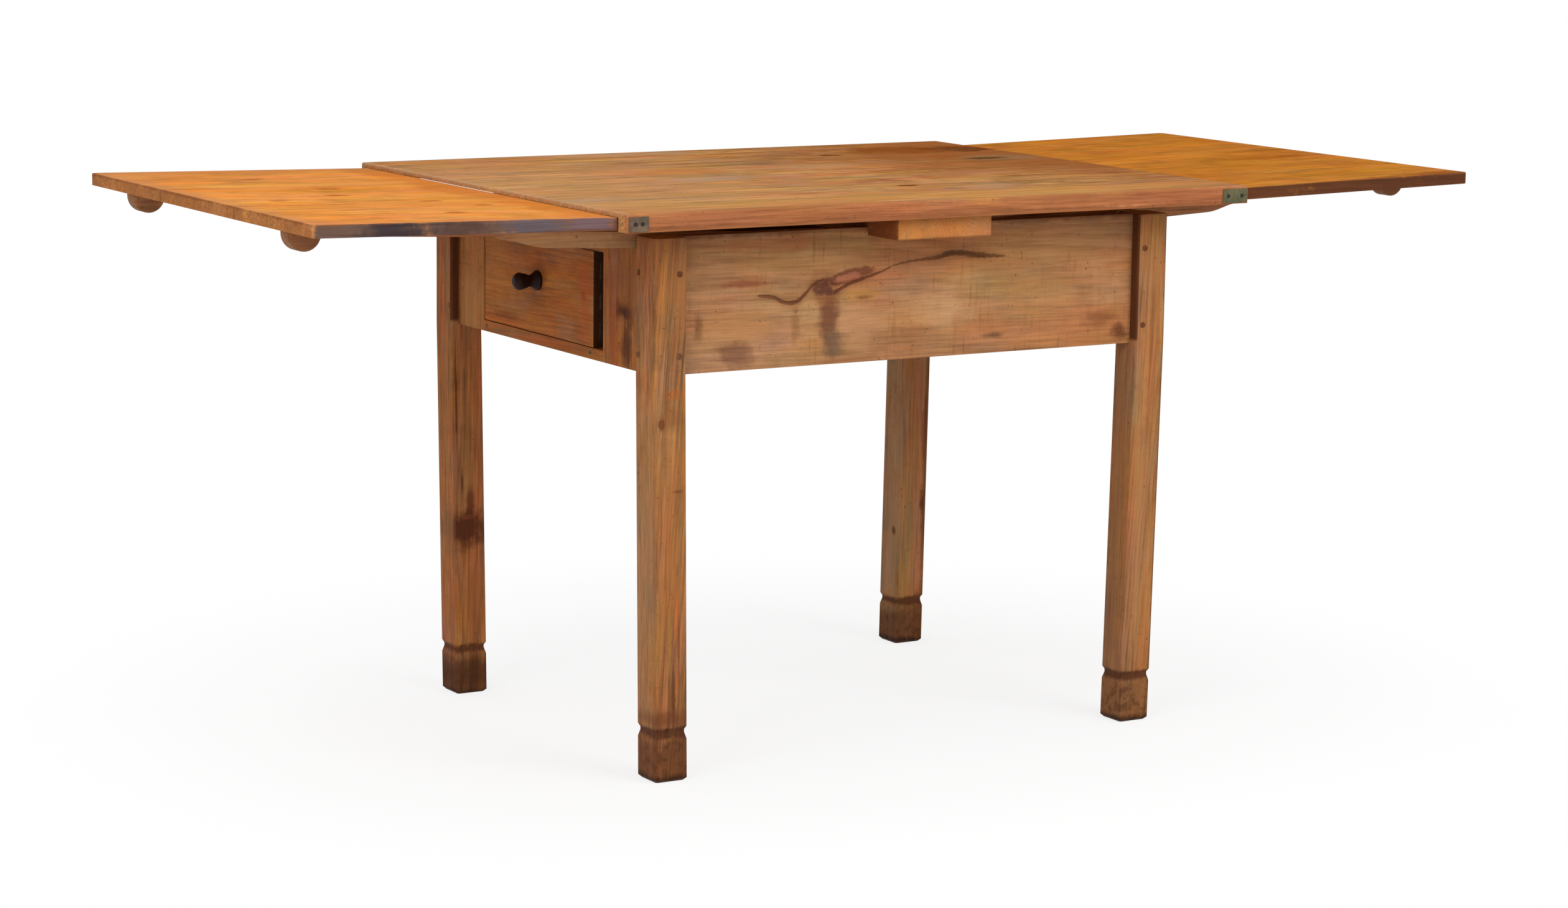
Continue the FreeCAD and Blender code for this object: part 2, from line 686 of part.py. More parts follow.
# Drawer
drawer_y0 = opening_front + DRAWER_GAP_FRONT
drawer_y1 = opening_rear - DRAWER_GAP_REAR
drawer_z0 = opening_bottom + DRAWER_GAP_BOTTOM
drawer_z1 = opening_top - DRAWER_GAP_TOP
drawer_x0 = -end_outer_x + DRAWER_FACE_SETBACK
drawer_x1 = drawer_x0 + DRAWER_LENGTH
drawer_side_top = drawer_z1 - DRAWER_SIDE_DROP
drawer_back_of_front = drawer_x0 + DRAWER_FRONT_THICKNESS


def dovetails():
    """Lapped tails on the sides' front ends, as solids through the side's thickness."""
    pitch = (drawer_side_top - drawer_z0) / DOVETAIL_COUNT
    tails = []
    x_root = drawer_back_of_front
    x_tip = x_root - DOVETAIL_DEPTH
    for i in range(DOVETAIL_COUNT):
        z = drawer_z0 + pitch * (i + 0.5)
        root = DOVETAIL_NARROW / 2
        tip = DOVETAIL_WIDE / 2
        outline = [(x_root, z - root), (x_root, z + root), (x_tip, z + tip), (x_tip, z - tip)]
        for y in (drawer_y0, drawer_y1 - DRAWER_SIDE_THICKNESS):
            tails.append(profile_solid(polygon_edges(outline, y), y, DRAWER_SIDE_THICKNESS))
    return tails


def bottom_panel(extra):
    """Drawer bottom let into grooves, enlarged by extra for the groove itself."""
    z0 = drawer_z0 + DRAWER_BOTTOM_RAISE
    side = DRAWER_SIDE_THICKNESS - DRAWER_GROOVE
    return box(drawer_back_of_front - DRAWER_GROOVE - extra, drawer_x1 - side + extra,
               drawer_y0 + side - extra, drawer_y1 - side + extra,
               z0 - extra, z0 + DRAWER_BOTTOM_THICKNESS + extra)


def knob_place():
    return V(drawer_x0, (drawer_y0 + drawer_y1) / 2, (drawer_z0 + drawer_z1) / 2 + KNOB_RAISE)


def make_knob():
    """Turned pull: rose, neck and a rounded head, on a spigot through the front."""
    rose = KNOB_ROSE_DIAMETER / 2
    neck = KNOB_NECK_DIAMETER / 2
    head = KNOB_HEAD_DIAMETER / 2
    spigot = KNOB_SPIGOT_DIAMETER / 2
    x_back = -DRAWER_FRONT_THICKNESS
    x_neck = KNOB_ROSE_THICKNESS
    x_head = x_neck + KNOB_NECK_LENGTH
    x_face = x_head + KNOB_HEAD_LENGTH
    corners = [(x_back, 0), (x_back, spigot), (0, spigot), (0, rose), (KNOB_ROSE_RIM, rose)]
    points = [V(x, 0, radius) for x, radius in corners]
    edges = [Part.LineSegment(a, b).toShape() for a, b in zip(points, points[1:])]
    turned = [(KNOB_ROSE_RIM, rose), (x_neck + KNOB_NECK_FLARE, neck + KNOB_NECK_SWELL),
              ((x_neck + x_head) / 2, neck), (x_head - KNOB_NECK_FLARE / 2, neck + KNOB_NECK_SWELL),
              (x_head + KNOB_NECK_FLARE, head - KNOB_NECK_SWELL / 2), ((x_head + x_face) / 2, head),
              (x_face - KNOB_FACE_DEPTH, head * KNOB_FACE_SHARE), (x_face, 0)]
    sweep = Part.BSplineCurve()
    sweep.interpolate([V(x, 0, radius) for x, radius in turned])
    edges.append(sweep.toShape())
    edges.append(Part.LineSegment(V(x_face, 0, 0), V(x_back, 0, 0)).toShape())
    knob = Part.Face(Part.Wire(edges)).revolve(V(0, 0, 0), V(1, 0, 0), 360)
    knob = flip_x(knob)
    knob.translate(knob_place())
    return knob


def drawer_nails():
    """Nails through the sides into the back, evenly up its height."""
    nails = []
    x = drawer_x1 - DRAWER_SIDE_THICKNESS / 2
    pitch = (drawer_side_top - drawer_z0) / (DRAWER_NAIL_COUNT + 1)
    for y, inward in ((drawer_y0 + NAIL_HEAD_HEIGHT, 1), (drawer_y1 - NAIL_HEAD_HEIGHT, -1)):
        for i in range(DRAWER_NAIL_COUNT):
            nails.append(nail(V(x, y, drawer_z0 + pitch * (i + 1)), V(0, inward, 0)))
    return nails


def make_drawer():
    tails = dovetails()
    groove = bottom_panel(GROOVE_FIT)
    front = box(drawer_x0, drawer_back_of_front, drawer_y0, drawer_y1, drawer_z0, drawer_z1)
    front = rounded(front, DRAWER_EDGE_ROUND, lambda bb, e: near(bb.XMax, drawer_x0))
    spigot_hole = rod(KNOB_SPIGOT_DIAMETER + 2 * KNOB_SPIGOT_FIT, knob_place(), V(1, 0, 0),
                      DRAWER_FRONT_THICKNESS)
    front = front.cut(groove).cut(spigot_hole)
    nails = drawer_nails()
    sides = {}
    for name, y0 in (("front", drawer_y0), ("rear", drawer_y1 - DRAWER_SIDE_THICKNESS)):
        side = box(drawer_back_of_front, drawer_x1, y0, y0 + DRAWER_SIDE_THICKNESS,
                   drawer_z0, drawer_side_top)
        for tail in tails:
            if near(tail.BoundBox.YMin, y0):
                side = joined(side, tail)
                front = front.cut(tail)
        side = side.cut(groove)
        for one in nails:
            side = side.cut(one)
        sides["drawer_side_" + name] = side
    back = box(drawer_x1 - DRAWER_SIDE_THICKNESS, drawer_x1, drawer_y0 + DRAWER_SIDE_THICKNESS,
               drawer_y1 - DRAWER_SIDE_THICKNESS, drawer_z0, drawer_side_top).cut(groove)
    for one in nails:
        back = back.cut(one)
    pieces = {"drawer_front": front, "drawer_back": back, "drawer_bottom": bottom_panel(0),
              "drawer_knob": make_knob(), "drawer_nails": Part.makeCompound(nails)}
    pieces.update(sides)
    return pieces


# Drawer bearers
bearer_top = drawer_z0 - BEARER_FIT
bearer_lanes = {
    "front": (drawer_y0 + DRAWER_SIDE_THICKNESS + BEARER_REACH - BEARER_WIDTH,
              drawer_y0 - GUIDE_FIT - GUIDE_WIDTH),
    "rear": (drawer_y1 - DRAWER_SIDE_THICKNESS - BEARER_REACH, drawer_y1 + GUIDE_FIT),
}
bearer_nail_lanes = (bearer_lanes["front"][0] + BEARER_WIDTH - BEARER_NAIL_INSET,
                     bearer_lanes["rear"][0] + BEARER_NAIL_INSET)


def bearer_nails():
    """Nails through the bottom rail and the right end board into the bearers' ends."""
    nails = []
    z = bearer_top - BEARER_HEIGHT / 2
    x = end_outer_x - NAIL_HEAD_HEIGHT
    for y in bearer_nail_lanes:
        nails.append(nail(V(-x, y, z), V(1, 0, 0), BEARER_NAIL_LENGTH))
        nails.append(nail(V(x, y, z), V(-1, 0, 0), BEARER_NAIL_LENGTH))
    return nails


def make_bearers():
    nails = bearer_nails()
    pieces = {}
    for name, (lane, guide) in bearer_lanes.items():
        bearer = box(-end_inner_x, end_inner_x, lane, lane + BEARER_WIDTH,
                     bearer_top - BEARER_HEIGHT, bearer_top)
        for one in nails:
            bearer = bearer.cut(one)
        pieces["drawer_bearer_" + name] = bearer
        pieces["drawer_guide_" + name] = box(-end_inner_x, end_inner_x, guide, guide + GUIDE_WIDTH,
                                             bearer_top, bearer_top + GUIDE_HEIGHT)
    pieces["bearer_nails"] = Part.makeCompound(nails)
    return pieces


# Write
def build():
    pieces = {}
    pieces.update(make_legs())
    pieces["front_apron"] = make_long_apron(-1)
    pieces["rear_apron"] = make_long_apron(1)
    pieces["right_end_board"] = make_right_end()
    pieces.update(make_drawer_end())
    pieces.update(make_crossboard())
    pieces.update(make_bearers())
    pieces.update(make_top())
    pieces.update(make_leaf("left"))
    pieces.update(make_leaf("right"))
    pieces.update(make_drawer())
    return pieces


os.makedirs("parts", exist_ok=True)
pieces = build()
for name, shape in pieces.items():
    shape.exportStep("parts/%s.step" % name)
print("%d nodes, slope %.5f, travel %.2f, drop %.2f" % (len(pieces), slide_slope, leaf_travel, leaf_drop))
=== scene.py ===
import math

import bpy
from mathutils import Matrix, Vector


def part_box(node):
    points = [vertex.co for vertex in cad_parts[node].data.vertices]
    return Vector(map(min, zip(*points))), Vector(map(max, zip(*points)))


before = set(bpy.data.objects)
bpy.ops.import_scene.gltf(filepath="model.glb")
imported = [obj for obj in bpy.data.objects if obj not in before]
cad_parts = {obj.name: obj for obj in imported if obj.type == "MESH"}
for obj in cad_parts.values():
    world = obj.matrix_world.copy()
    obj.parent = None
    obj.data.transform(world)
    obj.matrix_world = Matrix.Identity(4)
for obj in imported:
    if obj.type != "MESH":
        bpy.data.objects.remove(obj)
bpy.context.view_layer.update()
bpy.ops.object.select_all(action="DESELECT")
print("table loaded,", len(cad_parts), "pieces")


# Shader sums

class Wire:
    # a socket that Python can add, multiply and feed to other nodes
    def __init__(self, tree, socket=None):
        self.tree = tree
        self.socket = socket

    def node(self, kind, settings=None, values=None, out=0):
        made = self.tree.nodes.new(kind)
        for key, value in (settings or {}).items():
            if key == "points":
                fillCurve(made.mapping, value)
            else:
                setattr(made, key, value)
        for key, value in (values or {}).items():
            if isinstance(value, Wire):
                self.tree.links.new(value.socket, made.inputs[key])
            else:
                made.inputs[key].default_value = value
        return Wire(self.tree, made.outputs[out] if made.outputs else None)

    def maths(self, operation, *values):
        return self.node("ShaderNodeMath", {"operation": operation}, dict(enumerate(values)))

    def __add__(self, other):
        return self.maths("ADD", self, other)

    def __radd__(self, other):
        return self.maths("ADD", other, self)

    def __sub__(self, other):
        return self.maths("SUBTRACT", self, other)

    def __rsub__(self, other):
        return self.maths("SUBTRACT", other, self)

    def __mul__(self, other):
        return self.maths("MULTIPLY", self, other)

    def __rmul__(self, other):
        return self.maths("MULTIPLY", other, self)

    def __truediv__(self, other):
        return self.maths("DIVIDE", self, other)

    def __pow__(self, other):
        return self.maths("POWER", self, other)

    def __abs__(self):
        return self.maths("ABSOLUTE", self)


def fillCurve(mapping, points):
    curve = mapping.curves[0]
    for place, level in points[1:-1]:
        curve.points.new(place, level)
    curve.points[0].location = points[0]
    curve.points[-1].location = points[-1]
    mapping.update()


def smooth(x, low, high):      # 0 below low, 1 above high; the other way round when low is larger
    return x.node("ShaderNodeMapRange", {"interpolation_type": "SMOOTHSTEP"},
                  {0: x, 1: low, 2: high})


def blend(mask, under, over):
    colours = [c if isinstance(c, Wire) else (*c, 1) for c in (under, over)]
    return mask.node("ShaderNodeMix", {"data_type": "RGBA"},
                     {0: mask, 6: colours[0], 7: colours[1]}, out=2)


def noise(place, scale, detail=2, rough=0.5, out=0):
    return place.node("ShaderNodeTexNoise", {}, {"Vector": place, "Scale": scale, "Detail": detail,
                                                 "Roughness": rough}, out)


def shifted(place, offset):
    return place.node("ShaderNodeVectorMath", {"operation": "ADD"}, {0: place, 1: offset})


def stretched(place, factors):
    return place.node("ShaderNodeVectorMath", {"operation": "MULTIPLY"}, {0: place, 1: factors})


def swing(x, size):      # noise about 0 instead of 0.5
    return (x - 0.5) * size


def parts(place):
    split = place.node("ShaderNodeSeparateXYZ", {}, {0: place}).socket.node
    return [Wire(place.tree, number) for number in split.outputs]


def distance(place, spot, size):      # 1 on an ellipsoid round the spot; size 0 leaves an axis out
    away = stretched(shifted(place, [-c for c in spot]), [1 / s if s else 0 for s in size])
    return away.node("ShaderNodeVectorMath", {"operation": "LENGTH"}, {0: away}, out=1)


def tinted(colour, drift, share):      # lets red, green and blue wander on their own
    factors = drift.node("ShaderNodeVectorMath", {"operation": "MULTIPLY_ADD"},
                         {0: drift, 1: share, 2: [1 - part / 2 for part in share]})
    return factors.node("ShaderNodeVectorMath", {"operation": "MULTIPLY"}, {0: colour, 1: factors})


def scaled(colour, factor):
    return factor.node("ShaderNodeVectorMath", {"operation": "SCALE"}, {0: colour, "Scale": factor})


def newMaterial(name):
    material = bpy.data.materials.new(name)
    material.use_nodes = True
    material.node_tree.nodes.clear()
    return material, Wire(material.node_tree)


def finishMaterial(start, values, relief, depth):
    bump = start.node("ShaderNodeBump", {}, {"Height": relief, "Distance": depth, "Strength": 1})
    shader = start.node("ShaderNodeBsdfPrincipled", {}, {**values, "Normal": bump})
    start.node("ShaderNodeOutputMaterial", {}, {"Surface": shader})


def dress(node, material):
    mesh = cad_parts[node].data
    mesh.materials.clear()
    mesh.materials.append(material)


# Old pine

turns = {"x": (0, 0, 0), "y": (0, 0, 90), "z": (0, -90, 0)}      # degrees, to lay the grain
knotShape = {"x": (1.4, 1, 1), "y": (1, 1.4, 1), "z": (1, 1, 1.6)}
knotRings = (      # where a ring begins and is full, in knot sizes, its share and its tone
    (2.2, 0.9, 0.5, "dark"), (1.25, 0.7, 0.85, "knot"), (0.75, 0.2, 0.35, "dark"))

pine = {
    "light": (0.46, 0.205, 0.078),
    "dark": (0.25, 0.090, 0.030),
    "warm": (0.46, 0.155, 0.045),
    "pale": (0.54, 0.295, 0.120),
    "grey": (0.34, 0.20, 0.115),
    "grime": (0.075, 0.026, 0.010),
    "knot": (0.085, 0.024, 0.010),
    "edge": (0.19, 0.080, 0.032),
    "ringGap": 0.0055,
    "ringWander": 3,             # how many rings the figure drifts along a board
    "sway": 0.05,
    "waver": 0.0022,
    "knotReach": 3.2,            # in knot sizes, how far a knot bends the rings
    "knotPush": 0.9,
    "bands": 42,                 # broad streaks to the metre, across the grain
    "streaks": 130,              # and ever finer ones
    "hairs": 105,
    "fineStreaks": 380,
    "fibres": 1100,
    "saws": 230,                 # saw marks to the metre, along the grain
    "patches": 16,
    "rags": 85,
    "specks": 190,
    "ringShare": 0.55,
    "warmShare": 0.6,
    "paleShare": 0.5,
    "greyShare": 0.35,
    "streakShare": 0.4,
    "speckShare": 0.5,
    "sawShare": 0.1,
    "fineShare": 0.8,
    "streakLift": 0.7,
    "softStain": 0.16,           # stains larger than this have a more even edge
    "grimeHeight": 0,            # ragged dirt below this height
    "recessShadeFrom": 0.540,           # painted shade in a recess shows above this height
    "recessShadeTone": (0.085, 0.026, 0.009),
    "hairShare": 0.15,
    "hue": (0.3, 0.45, 0.9),     # how far red, green and blue drift apart
    "patchLength": 5,            # colour patches to the metre, along and across the grain
    "patchWidth": 18,
    "contrast": 1.0,
    "edgeShare": 0.4,
    "edgeWidth": 0.004,
    "rough": 0.62,
    "gloss": 0.06,
    "bump": 0.0008,
}


def straightened(place, lean, height):      # undoes a leg's lean, below the aprons
    drop = 1 - parts(place)[2] / height
    return place.node("ShaderNodeVectorMath", {"operation": "SUBTRACT"},
                      {0: place, 1: scaled(lean, drop.maths("MAXIMUM", drop, 0))})


def pineBoard(node, axis, pith, seed, tilt=(0, 0), knots=(), stains=(), cracks=(), eyes=(),
              lean=None, recessShade=None, **changes):
    look = {**pine, **changes}
    low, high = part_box(node)
    middle = (Vector(low) + Vector(high)) / 2
    half = (Vector(high) - Vector(low)) / 2
    material, start = newMaterial(node + "Pine")
    place = start.node("ShaderNodeTexCoord", out=3)
    if lean:
        place = straightened(place, lean, legs["leanFrom"])
    where = parts(place)
    turn = [math.radians(t + more) for t, more in zip(turns[axis], (0, *tilt))]
    centred = [m + p for m, p in zip(middle, pith)]
    grain = place.node("ShaderNodeMapping", {"vector_type": "TEXTURE"},
                       {"Vector": place, "Location": centred, "Rotation": turn})
    own = shifted(grain, (seed * 1.7, seed * 0.9, seed * 1.3))

    # growth rings round the pith, pushed about by slow and quick wavers and by the knots
    sway = shifted(noise(stretched(own, (1.3, 6, 6)), 1, 3, 0.5, out=1), (-0.5, -0.5, -0.5))
    waver = noise(stretched(own, (9, 70, 70)), 1, 2) * look["waver"]
    bent = grain.node("ShaderNodeVectorMath", {"operation": "MULTIPLY_ADD"},
                      {0: sway, 1: (0, look["sway"], look["sway"]), 2: grain})
    sides = parts(bent)
    radius = (sides[1] * sides[1] + sides[2] * sides[2]) ** 0.5 + waver
    knotAways = []
    for spot, size in knots:
        away = distance(place, spot, [size * s for s in knotShape[axis]])
        knotAways.append(away)
        radius = radius + smooth(away, look["knotReach"], 0) * (size * look["knotPush"])
    wander = noise(stretched(own, (0.4, 9, 9)), 1, 1) * look["ringWander"]
    turnNumber = radius / look["ringGap"] + wander
    ring = turnNumber.maths("FRACT", turnNumber)
    late = smooth(ring, 0.3, 0.92) * smooth(ring, 1.0, 0.94)
    strength = smooth(noise(stretched(own, (2, 14, 14)), 1, 2), 0.35, 0.62)

    # streaks along the grain from broad to fine, and patches without a direction
    def along(offset, length, width, detail, rough, out=0):      # noise drawn out along the grain
        return noise(stretched(shifted(own, offset), (length, width, width)), 1, detail, rough, out)

    redBand = along((0, 0, 0), 3, look["bands"], 3, 0.6)
    goldBand = along((4, 2, 6), 3.5, look["bands"] * 0.8, 3, 0.6)
    streak = along((0, 0, 0), 5, look["streaks"], 3, 0.6)
    fine = along((0, 0, 0), 11, look["fineStreaks"], 2, 0.6)
    fibre = along((0, 0, 0), 30, look["fibres"], 2, 0.6)
    hair = along((1, 8, 4), 6, look["hairs"], 1, 0.5)
    worn = along((7, 5, 3), 9, 22, 5, 0.66)
    saw = along((0, 0, 0), look["saws"], 11, 3, 0.6)
    drift = along((6, 3, 9), look["patchLength"], look["patchWidth"], 4, 0.62, out=1)
    patch = noise(shifted(own, (3, 1, 2)), look["patches"], 5, 0.65)
    ragged = noise(shifted(own, (2, 6, 1)), look["rags"], 3, 0.6)
    speck = noise(shifted(own, (5, 2, 8)), look["specks"], 1, 0.5)

    colour = blend(late * strength * look["ringShare"], look["light"], look["dark"])
    for figure, rise, full, share, tone in (
            (redBand, 0.42, 0.64, look["warmShare"], "warm"),
            (goldBand, 0.46, 0.66, look["paleShare"], "pale"),
            (worn, 0.48, 0.66, look["greyShare"], "grey"),
            (streak, 0.50, 0.70, look["streakShare"], "dark"),
            (fine, 0.52, 0.70, look["streakShare"] * 0.7, "dark"),
            (patch, 0.50, 0.70, 0.4, "dark")):
        colour = blend(smooth(figure, rise, full) * share, colour, look[tone])
    sawn = smooth(saw, 0.52, 0.72) * smooth(patch, 0.45, 0.6)
    colour = blend(sawn * look["sawShare"], colour, look["grime"])
    hairs = smooth(abs(hair - 0.5), 0.06, 0.01) * smooth(worn, 0.46, 0.6)
    colour = blend(hairs * look["hairShare"], colour, look["grime"])
    mottle = swing(streak, look["streakLift"]) + swing(fine, look["fineShare"]) + swing(patch, 0.9)
    lift = (mottle + swing(redBand, 0.7)) * look["contrast"] + 1
    colour = scaled(tinted(colour, drift, look["hue"]), lift.maths("MAXIMUM", lift, 0.2))

    # stains with painted shade and painted highlights among them, dirt by the floor, painted shade
    # in recesses, knots and cracks
    uneven = swing(patch, 1.8) + swing(streak, 0.7) + swing(ragged, 0.8)
    # the list holds real stains and also painted shade, painted shadows and painted highlights
    for spot, size, tone, share in stains:
        softer = min(1, look["softStain"] / min(s for s in size if s))
        away = distance(place, spot, size) + uneven * softer
        colour = blend(smooth(away, 1.25, 0.3) * share, colour, tone)
    if look["grimeHeight"]:
        nearFloor = smooth(where[2], look["grimeHeight"], look["grimeHeight"] * 0.6)
        dirty = smooth(ragged * 0.6 + patch * 0.4, 0.46, 0.58)
        colour = blend(nearFloor * dirty * 0.6, colour, look["grime"])
    # painted shade in a recess, such as a leg's strip beside a set-back apron and the walls of the
    # drawer's slot
    if recessShade:
        inRecessShade = smooth(distance(place, *recessShade), 1.15, 0.9)
        above = smooth(where[2], look["recessShadeFrom"], look["recessShadeFrom"] + 0.006)
        colour = blend(inRecessShade * above * 0.93, colour, look["recessShadeTone"])
    dent = fibre * 0
    for away in knotAways:
        rim = away + swing(ragged, 1.6) + swing(patch, 0.6)
        for reach, full, share, tone in knotRings:
            colour = blend(smooth(rim, reach, full) * share, colour, look[tone])
        dent = dent + smooth(rim, 1.1, 0.9) * 0.6
    for eye in eyes:
        rim, core = eyeMasks(place, eye, swing(ragged, 1.3))
        colour = blend(core * 0.8, colour, eye["tone"])
        colour = blend(rim, colour, eye["rim"])
    for crack in cracks:
        open, shade = crackMasks(place, crack)
        colour = blend(shade * 0.55, colour, crack["shade"])
        colour = blend(open * 0.95, colour, crack["tone"])
        dent = dent + open * 3
    colour = blend(smooth(speck, 0.70, 0.78) * look["speckShare"], colour, look["grime"])
    colour = scaled(colour, (swing(fine, 0.5) + swing(streak, 0.4)) * look["contrast"] + 1)

    # handled edges: the second smallest way to the box's faces is small along an edge
    ways = [h - abs(w - m) for w, m, h in zip(where, middle, half)]
    small = start.maths("MINIMUM", ways[0], ways[1])
    large = start.maths("MAXIMUM", ways[0], ways[1])
    second = start.maths("MAXIMUM", small, start.maths("MINIMUM", large, ways[2]))
    edge = smooth(second + swing(patch, look["edgeWidth"] * 2.5), look["edgeWidth"], 0)
    colour = blend(edge * look["edgeShare"], colour, look["edge"])

    relief = fibre * 0.3 + worn * 0.9 + patch * 0.4 - late * 0.35 - dent
    rough = swing(patch, 0.3) + look["rough"] - late * 0.08
    finishMaterial(start, {"Base Color": colour, "Roughness": rough,
                           "Specular IOR Level": look["gloss"]}, relief, look["bump"])
    dress(node, material)


def crackMasks(place, crack):      # the open crack, and the stained wood beside it
    (x0, z0), (x1, z1) = crack["from"], crack["to"]
    where = parts(place)
    share = (where[0] - x0) / (x1 - x0)
    line = share.node("ShaderNodeFloatCurve", {"points": crack["line"]}, {"Value": share})
    wide = share.node("ShaderNodeFloatCurve", {"points": crack["wide"]}, {"Value": share})
    inside = smooth(share, 0, 0.03) * smooth(share, 1, 0.97) * (wide * 0.6 + 0.4)
    wide = wide * crack["width"] + 0.00001
    ragged = noise(stretched(place, (1, 1, 2)), 160, 3, 0.6)
    away = abs(where[2] - (line * (z1 - z0) + z0)) + swing(ragged, crack["width"] * 1.1)
    return smooth(away / wide, 1.25, 0.3) * inside, smooth(away / (wide * 3.5), 1.3, 0.2) * inside


def eyeMasks(place, eye, ragged):      # the dark rim and the core of a slanting oval
    slant = (0, math.radians(eye["slant"]), 0)
    turned = place.node("ShaderNodeMapping", {"vector_type": "TEXTURE"},
                        {"Vector": place, "Location": eye["spot"], "Rotation": slant})
    away = distance(turned, (0, 0, 0), eye["size"]) + ragged
    return smooth(abs(away - 1), 0.42, 0.1) * eye["rimShare"], smooth(away, 1.1, 0.6)


# Top

top = {
    "look": {
        "light": (0.47, 0.222, 0.083),
        "dark": (0.28, 0.117, 0.040),
        "warm": (0.45, 0.168, 0.053),
        "pale": (0.54, 0.295, 0.108),
        "grey": (0.395, 0.235, 0.128),
        "bands": 22,
        "patchLength": 7,
        "patchWidth": 13,
        "hue": (0.42, 0.58, 1.15),
        "greyShare": 0.6,
        "ringShare": 0.4,
        "warmShare": 0.7,
        "contrast": 1.5,
        # no gloss: the pale veil of the top's sheen is painted into its colours instead
        "gloss": 0,
        "knot": (0.130, 0.036, 0.010),
        "edge": (0.40, 0.150, 0.050),
    },
    "seed": 3.1,
    "pith": ((0, -0.03, -0.11), (0, 0.05, -0.10), (0, -0.06, -0.12), (0, 0.02, -0.11)),
    "tilt": ((0.6, -1.2), (-0.8, 0.7), (0.5, 1.1), (-0.6, -0.8)),
    "knots": {
        "front": (((0.05, -0.205, 0.76), 0.010),),
        "rear": (((0.43, 0.255, 0.76), 0.016), ((0.20, 0.238, 0.76), 0.012)),
    },
    "stains": {
        "front": (((0.1, -0.34, 0.76), (0.5, 0.055, 0.006), (0.53, 0.262, 0.074), 0.6),
                  ((0, -0.3945, 0.748), (0, 0.006, 0.020), (0.40, 0.128, 0.052), 0.8),
                  # painted shade along the lower part of the top's front edge
                  ((0, -0.3945, 0.737), (0, 0.004, 0.006), (0.22, 0.075, 0.032), 0.6),
                  ((-0.45, -0.2, 0.76), (0.05, 0.05, 0), (0.42, 0.27, 0.16), 0.6)),
        "middle_front": (((-0.163, -0.018, 0.76), (0.08, 0.04, 0), (0.42, 0.28, 0.18), 0.6),
                         ((-0.25, 0.02, 0.76), (0.10, 0.035, 0), (0.50, 0.26, 0.07), 0.5),
                         ((0.455, 0.050, 0.76), (0.05, 0.005, 0), (0.11, 0.055, 0.022), 0.8),
                         ((0.45, 0.070, 0.76), (0.04, 0.004, 0), (0.13, 0.060, 0.022), 0.8),
                         ((0.40, 0.04, 0.76), (0.08, 0.030, 0), (0.33, 0.165, 0.075), 0.6)),
        "middle_rear": (((0.42, 0.11, 0.76), (0.07, 0.050, 0), (0.30, 0.165, 0.075), 0.7),
                        ((0.40, 0.11, 0.76), (0.042, 0.018, 0), (0.10, 0.046, 0.013), 0.9),
                        ((0.40, 0.075, 0.76), (0.03, 0.008, 0), (0.20, 0.095, 0.045), 0.8),
                        ((0.33, 0.15, 0.76), (0.05, 0.02, 0), (0.30, 0.085, 0.016), 0.6),
                        ((-0.15, 0.08, 0.76), (0.10, 0.035, 0), (0.50, 0.19, 0.050), 0.5),
                        ((-0.17, 0.17, 0.76), (0.09, 0.030, 0), (0.50, 0.24, 0.12), 0.5),
                        ((0.08, 0.09, 0.76), (0.10, 0.035, 0), (0.50, 0.26, 0.13), 0.5)),
        "rear": (((0.38, 0.26, 0.76), (0.18, 0.075, 0), (0.24, 0.065, 0.012), 0.85),
                 ((0.435, 0.255, 0.76), (0.055, 0.050, 0), (0.125, 0.026, 0.005), 0.95),
                 ((0.02, 0.30, 0.76), (0.10, 0.03, 0), (0.46, 0.15, 0.035), 0.5),
                 ((-0.10, 0.36, 0.76), (0.12, 0.03, 0), (0.46, 0.30, 0.17), 0.5)),
    },
    "allStains": (((0.54, 0.18, 0.76), (0.48, 0.50, 0), (0.30, 0.098, 0.025), 0.9),
                  ((-0.42, -0.05, 0.76), (0.34, 0.42, 0), (0.57, 0.320, 0.140), 0.35),
                  # the top's left rim: paler with wear, plus a painted highlight
                  ((-0.489, 0, 0.7605), (0.008, 0, 0.004), (0.52, 0.31, 0.17), 0.8)),
}

for number, name in enumerate(("front", "middle_front", "middle_rear", "rear")):
    pineBoard("top_plank_" + name, "x", top["pith"][number], top["seed"] + number,
              tilt=top["tilt"][number], knots=top["knots"].get(name, ()),
              stains=top["allStains"] + top["stains"][name], **top["look"])

print("top dressed")

# Leaves

